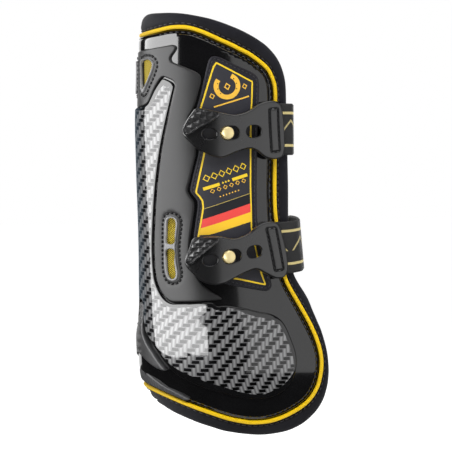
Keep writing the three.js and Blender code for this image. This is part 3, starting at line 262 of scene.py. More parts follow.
def threads(name, path, mats, body="root", d=2.4, pitch=3.3, length=2.4, r=0.34, closed=False, side=1):
    """Stitches along a flat path, each one a thread that dips into the cloth at both ends."""
    L = np.concatenate([[0], np.cumsum(np.linalg.norm(np.diff(np.concatenate([path, path[:1]]) if closed else path, axis=0), axis=1))])
    pp = np.concatenate([path, path[:1]]) if closed else path
    n = max(1, int(L[-1] / pitch)); pitch = L[-1] / n
    c = (np.arange(n) + 0.5) * pitch; st = np.linspace(-0.5, 0.5, 6) * length; T = c[:, None] + st[None]
    q = np.stack([np.interp(T, L, pp[:, 0]), np.interp(T, L, pp[:, 1])], -1)
    lift = np.array([-0.9, 0.15, 0.55, 0.55, 0.15, -0.9]) * r; w = np.array([0.45, 0.95, 1.0, 1.0, 0.95, 0.45]) * r
    dd = d(q[..., 0].ravel(), q[..., 1].ravel()).reshape(q.shape[:2]) if callable(d) else np.full(q.shape[:2], float(d))
    C = P(q[..., 0], q[..., 1], dd + lift * side); N = nrm(q[..., 0], q[..., 1]); t = np.gradient(C, axis=1); t /= np.linalg.norm(t, axis=-1, keepdims=True)
    B = np.cross(N, t); B /= np.linalg.norm(B, axis=-1, keepdims=True); K = 8
    ang = np.arange(K) / K * 2 * np.pi
    V = C[:, :, None] + w[None, :, None, None] * (np.cos(ang)[None, None, :, None] * B[:, :, None] + np.sin(ang)[None, None, :, None] * N[:, :, None])
    M = len(st); F = []
    for i in range(n):
        o = i * M * K
        for k in range(M - 1):
            for j in range(K): F.append((o + k*K + j, o + k*K + (j+1) % K, o + (k+1)*K + (j+1) % K, o + (k+1)*K + j))
        F.append(tuple(o + j for j in range(K))[::-1]); F.append(tuple(o + (M-1)*K + j for j in range(K)))
    F = [f[::-1] for f in F]
    uv = np.repeat(q.reshape(-1, 2), K, 0)
    return add(name, V.reshape(-1, 3), F, mats, body, uv, None, 60)
def band_strip(name, path, width, d0, d1, mats, body="root", closed=True, r=0.18):
    """A thin raised line, such as a printed or sewn line."""
    nn = normals2(path, closed); cols = np.array([-0.5, -0.42, -0.2, 0.2, 0.42, 0.5]) * width; dd = np.array([d0, d1 - 0.03, d1, d1, d1 - 0.03, d0])
    q = path[:, None] + nn[:, None] * cols[None, :, None]; V = P(q[..., 0], q[..., 1], np.broadcast_to(dd, q.shape[:2])); n, m = V.shape[:2]; F = []
    rr = n if closed else n - 1
    for i in range(rr):
        for k in range(m): F.append((i*m + k, i*m + (k+1) % m, ((i+1) % n)*m + (k+1) % m, ((i+1) % n)*m + k))
    if not closed: F += [tuple(range(m))[::-1], tuple((n-1)*m + k for k in range(m))]
    F = [f[::-1] for f in F]
    return add(name, V.reshape(-1, 3), F, mats, body, q.reshape(-1, 2), None, 60)
def flat_plate(name, pts, d0, d1, mats, slot, body="root", smooth=False, h=1.6, hb=0.8):
    reg = Region(rom(pts, hb, True, smooth), h=h, insets=(0.12,), raw=True)
    return solid(name, reg, lambda s, z, D: d1 - rnd(D, 0.1), lambda s, z, D: d0, mats, body)
def lathe(name, profile, c, mats, body="root", n=56):
    o, w = P(c[0], c[1], 0.0), nrm(c[0], c[1]); a = np.cross(w, [0, 0, 1.0]); a /= np.linalg.norm(a); b = np.cross(w, a)
    ang = np.arange(n) / n * 2 * np.pi; V, F, uv = [], [], []
    for r, h in profile:
        for t in ang: V.append(o + w * h + a * r * math.cos(t) + b * r * math.sin(t)); uv.append((r * math.cos(t), r * math.sin(t)))
    m = len(profile)
    for i in range(m - 1):
        for k in range(n): F.append((i*n + k, i*n + (k+1) % n, (i+1)*n + (k+1) % n, (i+1)*n + k))
    F.append(tuple(range(n))[::-1]); F.append(tuple((m-1)*n + k for k in range(n)))
    F = [f[::-1] for f in F]
    return add(name, np.array(V), F, mats, body, np.array(uv), None, 35)

# ------------------------------------------------------------------ materials
class Nodes:
    """Short calls for a material's nodes. Numbers are in millimetres on the flat outline."""
    def __init__(self, name, **consts):
        self.m = bpy.data.materials.new(name); self.m.use_nodes = True; self.t = self.m.node_tree; self.b = self.t.nodes["Principled BSDF"]
        for k, v in consts.items(): self.b.inputs[k.replace("_", " ")].default_value = v
    def put(self, sock, v):
        if isinstance(v, (int, float)): sock.default_value = v
        elif isinstance(v, (tuple, list)): sock.default_value = v
        else: self.t.links.new(v, sock)
    def op(self, op, a, b=None, c=None, clamp=False):
        n = self.t.nodes.new("ShaderNodeMath"); n.operation = op; n.use_clamp = clamp
        for i, v in enumerate((a, b, c)):
            if v is not None: self.put(n.inputs[i], v)
        return n.outputs[0]
    def add(self, a, b): return self.op("ADD", a, b)
    def sub(self, a, b): return self.op("SUBTRACT", a, b)
    def mul(self, a, b): return self.op("MULTIPLY", a, b)
    def flat(self):
        n = self.t.nodes.new("ShaderNodeUVMap"); n.uv_map = "flat"; s = self.t.nodes.new("ShaderNodeSeparateXYZ"); self.t.links.new(n.outputs[0], s.inputs[0]); self.uv = n.outputs[0]
        return s.outputs[0], s.outputs[1]
    def object(self):
        n = self.t.nodes.new("ShaderNodeTexCoord"); return n.outputs["Object"]
    def noise(self, vec, scale, detail=3.0, rough=0.55, stretch=None):
        if stretch is not None:
            mp = self.t.nodes.new("ShaderNodeMapping"); self.t.links.new(vec, mp.inputs[0]); mp.inputs["Scale"].default_value = stretch; vec = mp.outputs[0]
        n = self.t.nodes.new("ShaderNodeTexNoise"); n.inputs["Scale"].default_value = scale; n.inputs["Detail"].default_value = detail; n.inputs["Roughness"].default_value = rough
        self.t.links.new(vec, n.inputs["Vector"]); return n.outputs[0]
    def mix(self, f, a, b):
        n = self.t.nodes.new("ShaderNodeMix"); n.data_type = "RGBA"; self.put(n.inputs[0], f)
        self.put(n.inputs[6], a if not isinstance(a, tuple) else (*a, 1.0)[:4]); self.put(n.inputs[7], b if not isinstance(b, tuple) else (*b, 1.0)[:4]); return n.outputs[2]
    def lerp(self, f, a, b): return self.add(a, self.mul(f, self.sub(b, a))) if not (isinstance(a, (int, float)) and isinstance(b, (int, float))) else self.op("MULTIPLY_ADD", f, b - a, a)
    def range(self, x, a, b, c=0.0, d=1.0):
        n = self.t.nodes.new("ShaderNodeMapRange"); n.interpolation_type = "SMOOTHSTEP"; self.put(n.inputs[0], x)
        for i, v in enumerate((a, b, c, d)): n.inputs[i + 1].default_value = v
        return n.outputs[0]
    def colour(self, v): self.put(self.b.inputs["Base Color"], v if not isinstance(v, tuple) else (*v, 1.0))
    def rough(self, v): self.put(self.b.inputs["Roughness"], v)
    def bumps(self, h, dist_mm, strength=1.0):
        n = self.t.nodes.new("ShaderNodeBump"); n.inputs["Distance"].default_value = dist_mm / 1000.0; n.inputs["Strength"].default_value = strength
        self.t.links.new(h, n.inputs["Height"]); self.t.links.new(n.outputs[0], self.b.inputs["Normal"]); return n

def fabric_weave(n, u, v, p):
    """A plain weave of pitch p: height from 0 to 1."""
    a = n.op("ABSOLUTE", n.op("SINE", n.mul(u, math.pi / p))); b = n.op("ABSOLUTE", n.op("SINE", n.mul(v, math.pi / p)))
    k = n.op("PINGPONG", n.add(n.op("FLOOR", n.op("DIVIDE", u, p)), n.op("FLOOR", n.op("DIVIDE", v, p))), 1.0)
    return n.lerp(k, n.mul(a, n.lerp(b, 0.55, 1.0)), n.mul(b, n.lerp(a, 0.55, 1.0)))

def gloss_plastic(name, col, rough, ior=1.6, coat=1.0, scratch=0.05):
    n = Nodes(name, IOR=ior, Coat_Weight=coat, Coat_Roughness=0.05, Coat_IOR=1.6); o = n.object()
    cloud = n.noise(o, 60, 3); fine = n.noise(o, 900, 2)
    n.colour(n.mix(n.range(cloud, 0.3, 0.7), tuple(c * 0.85 for c in col), tuple(c * 1.2 for c in col)))
    n.rough(n.lerp(cloud, rough, rough + scratch)); n.bumps(n.add(n.mul(cloud, 0.6), n.mul(fine, 0.05)), 0.02, 0.35); return n.m
def satin_plastic(name, col, rough, grain=0.012, ior=1.5, spec=None):
    n = Nodes(name, IOR=ior); o = n.object()
    cloud = n.noise(o, 45, 4); fine = n.noise(o, 1600, 2, 0.6)
    n.colour(n.mix(n.range(cloud, 0.3, 0.7), tuple(c * 0.88 for c in col), tuple(c * 1.12 for c in col)))
    n.rough(n.lerp(cloud, rough - 0.04, rough + 0.05)); n.bumps(fine, grain, 0.6); return n.m

def tab_plastic():
    n = Nodes("tab_satin_black", IOR=1.6, Coat_Weight=1.0, Coat_Roughness=0.17, Coat_IOR=1.6); o = n.object()
    cloud = n.noise(o, 45, 4); fine = n.noise(o, 1600, 2, 0.6)
    n.colour(n.mix(n.range(cloud, 0.3, 0.7), (0.0060, 0.0060, 0.0064), (0.0095, 0.0095, 0.0100)))
    n.rough(n.lerp(cloud, 0.24, 0.32)); n.bumps(fine, 0.006, 0.5); return n.m

def carbon_twill():
    p = 2.3
    n = Nodes("carbon_twill", IOR=1.6, Coat_Weight=1.0, Coat_Roughness=0.045, Coat_IOR=1.85); u, v = n.flat(); o = n.object()
    i, j = n.op("FLOOR", n.op("DIVIDE", u, p)), n.op("FLOOR", n.op("DIVIDE", v, p))
    fu, fv = n.op("FRACT", n.op("DIVIDE", u, p)), n.op("FRACT", n.op("DIVIDE", v, p))
    k = n.op("FLOORED_MODULO", n.sub(i, j), 4.0) if False else n.sub(n.sub(i, j), n.mul(n.op("FLOOR", n.op("DIVIDE", n.sub(i, j), 4.0)), 4.0))
    up = n.op("GREATER_THAN", k, 1.5)                                    # 1 where the upright tow is on top
    along = n.lerp(up, n.op("DIVIDE", n.add(k, fu), 2.0), n.op("DIVIDE", n.add(n.sub(3.0, k), fv), 2.0))
    across = n.lerp(up, fv, fu)
    ca = n.op("SINE", n.mul(across, math.pi)); cl = n.op("SINE", n.mul(along, math.pi))
    body = n.op("POWER", ca, 0.45); edge = n.range(ca, 0.05, 0.35)
    fib_h = n.noise(n.uv, 1.0, 3, 0.6, (0.35, 9.0, 1)); fib_v = n.noise(n.uv, 1.0, 3, 0.6, (9.0, 0.35, 1)); fib = n.lerp(up, fib_h, fib_v)
    tint = n.noise(n.uv, 0.21, 2)
    seam = n.range(ca, 0.16, 0.44); ends = n.range(cl, 0.05, 0.22); painted_highlight_strip = n.range(ca, 0.30, 0.95); solid_dark = n.mul(seam, ends)
    # Flat tows: a black body, which is the fibre's own colour, with a painted glint (0.11 grey) at their edges and
    # ends.
    flat_tow_with_painted_glint = n.mix(solid_dark, (0.11, 0.11, 0.113), n.mix(fib, (0.0035, 0.0035, 0.004), (0.010, 0.010, 0.011)))
    # Upright tows: their grey is painted sheen, the fibres' reflection painted in, with a painted highlight strip down
    # the middle of each tow.
    upright_tow_painted_sheen = n.mix(painted_highlight_strip, (0.075, 0.075, 0.077), n.mix(fib, (0.12, 0.12, 0.122), (0.30, 0.30, 0.304)))
    n.colour(n.mix(up, flat_tow_with_painted_glint, upright_tow_painted_sheen))
    n.put(n.b.inputs["Metallic"], n.mul(n.sub(1.0, up), solid_dark))
    n.rough(n.lerp(up, n.lerp(tint, 0.30, 0.38), n.lerp(fib, 0.26, 0.40)))
    n.bumps(n.add(n.mul(body, n.lerp(cl, 0.55, 1.0)), n.mul(fib, 0.12)), 0.16, 0.8); return n.m

def neoprene():
    n = Nodes("neoprene_knit", IOR=1.33, Sheen_Weight=0.06, Sheen_Roughness=0.5); u, v = n.flat(); o = n.object()
    ribs = n.op("ABSOLUTE", n.op("SINE", n.mul(n.add(u, n.mul(n.op("SINE", n.mul(v, 2 * math.pi / 0.9)), 0.08)), math.pi / 0.62))); rows = n.op("SINE", n.mul(v, 2 * math.pi / 0.9))
    cloud = n.noise(o, 70, 4); fuzz = n.noise(o, 2600, 2)
    n.colour(n.mix(n.range(cloud, 0.3, 0.7), (0.0040, 0.0040, 0.0066), (0.0070, 0.0070, 0.0108))); n.rough(n.lerp(fuzz, 0.72, 0.92))
    n.bumps(n.add(n.add(n.mul(ribs, 0.6), n.mul(rows, 0.2)), n.mul(fuzz, 0.5)), 0.07, 0.8); return n.m

def label_cloth():
    n = Nodes("label_cloth", IOR=1.45, Sheen_Weight=0.15, Sheen_Roughness=0.4); u, v = n.flat(); o = n.object()
    w = fabric_weave(n, u, v, 0.45); cloud = n.noise(o, 55, 3)
    n.colour(n.mix(n.mul(w, n.range(cloud, 0.2, 0.8, 0.75, 1.0)), (0.012, 0.012, 0.018), (0.034, 0.034, 0.043))); n.rough(n.lerp(w, 0.66, 0.5))
    n.bumps(w, 0.05, 0.6); return n.m

def label_edge():
    n = Nodes("label_edge_cloth", IOR=1.45, Sheen_Weight=0.08, Sheen_Roughness=0.4); u, v = n.flat(); o = n.object()
    w = fabric_weave(n, u, v, 0.6); cloud = n.noise(o, 80, 3)
    n.colour(n.mix(n.mul(w, n.range(cloud, 0.2, 0.8, 0.7, 1.0)), (0.005, 0.005, 0.008), (0.015, 0.014, 0.021))); n.rough(n.lerp(w, 0.72, 0.56))
    n.bumps(w, 0.06, 0.7); return n.m

def print_ink(name, a, b, rough=0.5):
    n = Nodes(name, IOR=1.45); u, v = n.flat(); w = fabric_weave(n, u, v, 0.5)
    n.colour(n.mix(w, a, b)); n.rough(n.lerp(w, rough + 0.08, rough - 0.05)); n.bumps(w, 0.04, 0.5); return n.m

def piping_cloth():
    n = Nodes("piping_weave", IOR=1.35); u, v = n.flat()       # u along the cord, v round it, both in mm
    tw = n.add(n.mul(u, 2 * math.pi / 0.95), n.mul(v, 2 * math.pi / 0.95)); a = n.op("SINE", tw); f = n.range(a, -0.9, 0.7)
    wear = n.noise(n.uv, 0.25, 3)
    n.colour(n.mix(n.mul(f, n.range(wear, 0.2, 0.7, 0.85, 1.0)), (0.60, 0.33, 0.0), (0.95, 0.66, 0.0))); n.rough(n.lerp(f, 0.62, 0.42))
    n.bumps(f, 0.14, 0.8); return n.m

def vent_mesh_mat():
    n = Nodes("vent_mesh_gold", IOR=1.45); u, v = n.flat()
    a = n.op("SINE", n.mul(n.add(n.mul(u, 0.86), n.mul(v, -1.0)), 2 * math.pi / 1.25)); f = n.range(a, -0.6, 0.8); x = n.op("SINE", n.mul(n.add(u, n.mul(v, 0.86)), 2 * math.pi / 0.5))
    n.colour(n.mix(f, (0.15, 0.105, 0.004), (0.92, 0.70, 0.04))); n.rough(n.lerp(f, 0.7, 0.45)); n.bumps(n.add(f, n.mul(x, 0.12)), 0.25, 0.9); return n.m

def elastic_weave():
    n = Nodes("elastic_weave", IOR=1.45, Sheen_Weight=0.2, Sheen_Roughness=0.4); u, v = n.flat()        # u along, v across from the middle
    av = n.op("ABSOLUTE", v); line = n.mul(n.range(n.op("ABSOLUTE", n.sub(av, 10.0)), 0.92, 0.66), 1.0)
    cu = n.op("ABSOLUTE", n.sub(n.op("FRACT", n.op("DIVIDE", n.add(u, 2.0), 17.0)), 0.5))
    arm = n.mul(n.op("ABSOLUTE", n.sub(v, n.sub(n.mul(cu, 20.0), 4.6))), 0.62); chev = n.mul(n.range(arm, 0.60, 0.34), n.op("GREATER_THAN", v, -2.2)); chev = n.mul(chev, 0.75)
    gold = n.op("MAXIMUM", line, chev)
    rib = n.op("ABSOLUTE", n.op("SINE", n.mul(u, math.pi / 0.75))); cr = n.op("ABSOLUTE", n.op("SINE", n.mul(v, math.pi / 0.55))); h = n.mul(rib, n.lerp(cr, 0.6, 1.0))
    n.colour(n.mix(gold, n.mix(h, (0.005, 0.005, 0.0055), (0.024, 0.024, 0.024)), n.mix(h, (0.36, 0.29, 0.10), (0.62, 0.52, 0.24)))); n.rough(n.lerp(h, 0.75, 0.55))
    n.bumps(h, 0.16, 0.85); return n.m

def metal(name, col, rough, metallic=1.0):
    n = Nodes(name, Metallic=metallic, IOR=1.5); o = n.object(); f = n.noise(o, 1500, 2); cloud = n.noise(o, 200, 2)
    n.colour(n.mix(cloud, tuple(c * 0.9 for c in col), tuple(min(c * 1.06, 1) for c in col))); n.rough(n.lerp(f, rough - 0.05, rough + 0.08)); n.bumps(f, 0.004, 0.2); return n.m

def gel_rubber():
    n = Nodes("gel_rubber", IOR=1.48, Coat_Weight=0.5, Coat_Roughness=0.15); o = n.object(); c = n.noise(o, 90, 2)
    n.colour(n.mix(c, (0.018, 0.022, 0.028), (0.035, 0.042, 0.052))); n.rough(n.lerp(c, 0.22, 0.34)); n.bumps(n.noise(o, 700, 2), 0.03, 0.4); return n.m

M = {
    "shell": gloss_plastic("shell_gloss_black", (0.0030, 0.0030, 0.0034), 0.10),
    "margin": gloss_plastic("carbon_margin_gloss", (0.0030, 0.0030, 0.0034), 0.09),
    # A dull, near-black rim along the carbon guard's outline: painted shade that stands in for the shaded gap beside
    # it.
    "carbon_edge_shade": satin_plastic("carbon_rim_painted_shade", (0.0025, 0.0025, 0.0028), 0.5, 0.006, ior=1.3),
    "carbon": carbon_twill(), "neoprene": neoprene(), "label": label_cloth(), "piping": piping_cloth(),
    "frame": satin_plastic("frame_satin_grey", (0.018, 0.018, 0.0185), 0.40, ior=1.53),
    "wing": satin_plastic("wing_satin_grey", (0.036, 0.036, 0.0375), 0.36, ior=1.55),
    "band": satin_plastic("band_satin_grey", (0.048, 0.048, 0.050), 0.40, ior=1.6),
    "label_edge": label_edge(), "thin_gold": print_ink("print_dull_gold", (0.30, 0.22, 0.05), (0.52, 0.40, 0.10)),
    "yellow": print_ink("print_yellow", (0.62, 0.40, 0.005), (0.93, 0.66, 0.02)),
    "stripe_yellow": print_ink("print_stripe_yellow", (0.75, 0.42, 0.01), (0.98, 0.62, 0.02)),
    "red": print_ink("print_red", (0.60, 0.035, 0.03), (0.88, 0.075, 0.06)),
    "gold": print_ink("print_gold", (0.62, 0.33, 0.02), (0.92, 0.55, 0.06)),
    "ink_black": print_ink("print_black", (0.006, 0.006, 0.009), (0.012, 0.012, 0.016)),
    "bezel": satin_plastic("bezel_light_grey", (0.24, 0.24, 0.245), 0.36, 0.006),
    # A darker copy of the bezel grey, made as painted shade for the rear bezels; no piece uses it.
    "bezel_shaded_copy": satin_plastic("bezel_painted_shade_grey", (0.13, 0.13, 0.13), 0.36, 0.006),
    "mesh": vent_mesh_mat(), "elastic": elastic_weave(),
    "stud": metal("stud_pale_gold", (0.98, 0.79, 0.40), 0.30, 0.45), "plate": metal("washer_steel", (0.55, 0.55, 0.53), 0.38),
    "tab": tab_plastic(),
    "grip": satin_plastic("grip_gloss_black", (0.013, 0.013, 0.014), 0.36, 0.005, ior=1.65),
    "gel": gel_rubber(),
    "thread": print_ink("thread_black", (0.004, 0.004, 0.005), (0.022, 0.022, 0.024), 0.5),
    "thread_jet": print_ink("thread_jet", (0.002, 0.002, 0.0025), (0.009, 0.009, 0.010), 0.5),
    "thread_grey": print_ink("thread_dark_grey", (0.015, 0.015, 0.018), (0.055, 0.055, 0.062), 0.5),
}

# ------------------------------------------------------------------ outlines in use
SIDES = (("lateral", lambda p: A2(p)), ("medial", mirror))
pipe = rom(whole(PIPE), 0.8); liner_line = rom(whole(LINER), 1.2)
groove = rom(GROOVE, 0.8, closed=False); grooves = [groove, mirror(groove)]
vents = [rom(f(q), 0.6) for _, f in SIDES for q in (SVENT, RVENT)]
vent_holes = [inset(v, 1.0)[::2] for v in vents]

# ------------------------------------------------------------------ liner
MID = -2.2
def rim_t(s, z):                                   # distance outside the piping line, negative under the shell
    q = np.stack([s, z], 1); t = dist_to(q, [(pipe, True)]); return np.where(inside(q, [pipe]), -t, t)
def liner_top(s, z, D):
    t = rim_t(s, z); u = np.clip(t / np.maximum(t + D, 1e-6), 0, 1)
    f = np.where(u < 0.42, 0.66 + 0.34 * np.sin(np.pi / 2 * u / 0.42), np.sqrt(np.maximum(1 - ((u - 0.42) / 0.58) ** 2, 0)))
    top = MID + 4.9 * f - 0.55 * bump(t - 2.5, 0.6) - 2.8 * np.exp(-(s / 16) ** 2) * step01((-98 - z) / 8)
    under = -0.6 + 1.4 * step01((t + 2.4) / 1.6)
    return np.where(D <= 0, MID, np.where(t > 0, top, np.minimum(under, MID + 4.9 * 0.66)))
def liner_bot(s, z, D):
    r = 3.4; x = np.clip(D / r, 0, 1); b = MID - (MID + 6.6) * -1 * 0 - 4.4 * np.sqrt(np.maximum(1 - (1 - x) ** 2, 0))
    return b + 0.45 * bump(D - 7.5, 0.7)
reg = Region(liner_line, h=3.0, insets=(0.08, 0.3, 0.7, 1.3, 2.1, 3.0, 4.0), raw=True,
             lines=[(np.concatenate([pipe, pipe[:1]]), (-2.6, -1.6, -0.6, 0.4, 1.3, 1.9, 2.5, 3.1, 3.8), 1.5)])
liner = solid("padded_liner", reg, liner_top, liner_bot, M["neoprene"], sharp=70)
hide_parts("neoprene_liner")
threads("rim_stitches", rom(inset(pipe, -2.5), 0.8), M["thread_grey"], d=2.05, pitch=3.6, length=2.5, r=0.33, closed=True)
inner = rom(inset(liner_line, 7.5), 1.0)
threads("lining_stitches", inner, M["thread_grey"], d=-6.15, pitch=3.6, length=2.5, r=0.33, closed=True, side=-1)

# ------------------------------------------------------------------ shell
shell_line = inset(pipe, 1.0)
def shell_top(s, z, D):
    q = np.stack([s, z], 1); g = dist_to(q, [(c, False) for c in grooves]); D0 = dist_to(q, [(shell_line, True)])
    swell = 2.0 * np.exp(-((z + 88) / 9) ** 4) * np.exp(-(s / 16) ** 4)
    zc = -95.0 - 0.33 * (np.abs(s) - 8); lip = 0.95 * step01((zc + 2.5 - z) / 5.0) * step01((np.abs(s) - 4) / 5) * step01((34 - np.abs(s)) / 7) * step01((z + 112) / 5)
    swell = swell + 1.5 * step01((z - 100) / 5.0) * np.exp(-(s / 16) ** 4)
    return swell + lip + 2.4 - 0.9 * (1 - step01(D0 / 1.3)) - 0.4 * bump(D0 - 2.1, 0.55) - 0.62 * bump(g, 0.5) - rnd(np.where(D < D0 - 1e-3, D, 9), 0.5)
reg = Region(shell_line, [h for h in vent_holes], h=2.2, insets=(0.12, 0.35, 0.75, 1.2, 1.6, 2.1, 2.6, 3.1), hb=1.0, raw=True,
             lines=[(g, (-1.0, -0.5, -0.25, 0, 0.25, 0.5, 1.0), 1.0) for g in grooves])
shell = solid("shell_wall", reg, shell_top, lambda s, z, D: 0.0, M["shell"]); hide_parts("outer_shell")
threads("shell_edge_stitches", rom(inset(shell_line, 2.1), 0.8), M["thread_grey"], d=1.97, pitch=3.6, length=2.5, r=0.33, closed=True)

# ------------------------------------------------------------------ piping
def cord_along(name, path, d, R, mats, K=20):
    L = np.concatenate([[0], np.cumsum(np.linalg.norm(np.diff(path, axis=0), axis=1))]); C = P(path[:, 0], path[:, 1], d); N = nrm(path[:, 0], path[:, 1])
    t = np.gradient(C, axis=0); t /= np.linalg.norm(t, axis=1, keepdims=True); B = np.cross(N, t); B /= np.linalg.norm(B, axis=1, keepdims=True)
    ang = -np.pi / 2 + np.arange(K) / K * 2 * np.pi
    V = C[:, None] + R * (np.cos(ang)[None, :, None] * B[:, None] + np.sin(ang)[None, :, None] * N[:, None]); n = len(C)
    F = [(i*K + k, i*K + (k+1) % K, (i+1)*K + (k+1) % K, (i+1)*K + k) for i in range(n - 1) for k in range(K)] + [tuple(range(K))[::-1], tuple((n-1)*K + k for k in range(K))]
    uv = np.stack([np.repeat(L, K), np.tile(np.arange(K) / K * 2 * np.pi * R, n)], 1)
    return add(name, V.reshape(-1, 3), F, mats, "root", uv, None, 60)
pp = pipe if area2(pipe) > 0 else pipe[::-1]; k0 = int(np.argmin(np.hypot(pp[:, 0], pp[:, 1] + 103))); pp = np.roll(pp, -k0, 0)
piping = cord_along("yellow_piping", np.concatenate([pp, pp[:1] - (pp[:1] - pp[-1:]) * 0.4]), 2.5, 1.2, M["piping"]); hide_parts("edge_piping")

# ------------------------------------------------------------------ tendon frame, carbon guard, wing, band
def frame_top(s, z, D):
    q = np.stack([s, z], 1); dv = dist_to(q, [(v, True) for v in vents]); Do = dist_to(q, [(frame_line, True)])
    return 4.4 - rnd(Do, 1.1) - rnd(np.where(D < Do - 1e-3, D, 9), 0.3) - 0.5 * bump(dv - 1.7, 0.75)
frame_line = rom(whole(FRAME), 0.8)
reg = Region(frame_line, vent_holes, h=2.0, insets=rings(1.1), raw=True, lines=[(np.concatenate([v, v[:1]]), (-2.6, -2.1, -1.7, -1.3, -0.8, -0.3), 0.7) for v in map(ccw, vents)])
o = solid("tendon_frame_skin", reg, frame_top, lambda s, z, D: 2.2, M["frame"]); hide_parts("tendon_frame")
for i, v in enumerate(vents):
    threads("vent_stitches_%d" % i, rom(inset(v, -1.7), 0.5), M["thread_jet"], d=4.02, pitch=2.6, length=2.2, r=0.6, closed=True)

weave_line = rom(WEAVE, 0.8, closed=False); W2 = mirror(weave_line)
lobe = A2(list(weave_line) + [[0, -63.3], [0, -45], [53.7, -45]]); carbon_line = rom(whole(CARBON), 0.8)
def weave_area():
    p = ccw(carbon_line); a, z = np.abs(p[:, 0]), p[:, 1]; m = np.full(len(p), 1.3)
    m[(z > 68.9) & (a > 7) & (a < 23) & (z < 86.6)] = 3.0; m[(z > 80.5) & (a >= 21)] = 4.2; m[(z > -54) & (z < -46) & (a > 20) & (a < 58)] = 2.6; m[(z < -50.5) & (a < 9)] = 0.7; m[z < -62] = 0.7
    k = np.ones(9) / 9; m = np.convolve(np.concatenate([m[-4:], m, m[:4]]), k, mode="valid"); q = p + normals2(p) * m[:, None]
    return q[(dist_to(q, [(p, True)]) > 0.9 * m) & inside(q, [p])]
warea = weave_area()
def pick_margin_or_shade_rim(s, z):
    # Faces: 0 the weave, 1 the smooth gloss margin, 2 the painted-shade rim along the outline.
    q = np.stack([np.abs(s), z], 1); q0 = np.stack([s, z], 1); m = (((z < -50.5) & ~inside(q, [lobe])) | ~inside(q0, [warea])).astype(int); m[dist_to(q0, [(carbon_line, True)]) < 0.55] = 2; return m
def carbon_top(s, z, D):
    w = dist_to(np.stack([np.abs(s), z], 1), [(weave_line, False)]); m = (z < -50.5) & ~inside(np.stack([np.abs(s), z], 1), [lobe]); swell = 1.75 * np.exp(-(s / 17) ** 2) * step01((z + 74) / 14)
    return swell + 4.0 - rnd(D, 1.0) * 1.25 - 0.28 * step01(w / 2.2) * m
reg = Region(carbon_line, h=2.0, insets=(0.06, 0.2, 0.36, 0.55, 0.8, 1.05), raw=True, cuts=[weave_line, W2, np.concatenate([warea, warea[:1]])], lines=[(weave_line, (-1.6, -0.8), 1.2), (W2, (-1.6, -0.8), 1.2)])
o = solid("carbon_guard_skin", reg, carbon_top, lambda s, z, D: 2.2, [M["carbon"], M["margin"], M["carbon_edge_shade"]], face_mat=pick_margin_or_shade_rim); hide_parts("carbon_tendon_guard")

wing_line = rom(whole(WING), 0.7)
reg = Region(wing_line, h=1.3, insets=rings(1.0), raw=True)
def wing_top(s, z, D): return 5.4 - rnd(D, 1.0) + 0.45 * step01((6.5 - np.abs(s)) / 3) * np.sin(2 * np.pi * z / 4.2) * step01(D / 1.5) - 0.5 * step01(D / 6.0) * 0
o = solid("fetlock_wing_skin", reg, wing_top, lambda s, z, D: 2.2, M["wing"]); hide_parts("fetlock_wing")
band_line = rom(whole(BAND), 0.7); ab = np.abs(band_line[:, 0]); band_line[:, 1] -= 1.3 * np.exp(-((ab - 20) / 9) ** 2) * (band_line[:, 1] > -(91 + 0.4 * ab))
gs, gz = np.meshgrid(np.arange(-38, 38.1, 0.45), np.arange(-106, -91, 1.0))
reg = Region(band_line, h=9, insets=(0.1, 0.3, 0.6), raw=True, free=np.stack([gs.ravel(), gz.ravel()], 1))
o = solid("ribbed_band_skin", reg, lambda s, z, D: 4.05 - rnd(D, 0.6) + 0.30 * np.cos(2 * np.pi * s / 2.25) * step01((D - 0.4) / 1.2), lambda s, z, D: 2.2, M["band"]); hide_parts("lower_ribbed_band")

# ------------------------------------------------------------------ vents
for side, f in SIDES:
    for kind, out, wins, inner_mesh in (("side", SVENT, SWIN, None), ("rear", RVENT, [RWIN], RMESH)):
        reg = Region(inset(rom(f(out), 0.5), 0.4 if kind == "side" else 0.5), [inset(rom(f(w), 0.5), -0.55 if kind == "side" else -0.8) for w in wins], h=0.8, insets=(0.04, 0.1, 0.2, 0.32), raw=True)
        o = solid(f"{side}_{kind}_bezel_ring", reg, lambda s, z, D: 5.6 - rnd(D, 0.32), lambda s, z, D: 3.6, M["bezel"]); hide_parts(f"{side}_{kind}_vent_bezel")
        ml = rom(inset(rom(f(out), 0.5), 1.05), 0.6)
        reg = Region(ml, h=0.36, insets=(0.2,), raw=True)
        sg = 1 if side == "lateral" else -1
        o = solid(f"{side}_{kind}_mesh_cloth", reg, lambda s, z, D: 2.75 + 0.16 * np.sin((0.86 * s * sg - z) * 2 * np.pi / 1.25), lambda s, z, D: 1.5, M["mesh"]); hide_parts(f"{side}_{kind}_vent_mesh")

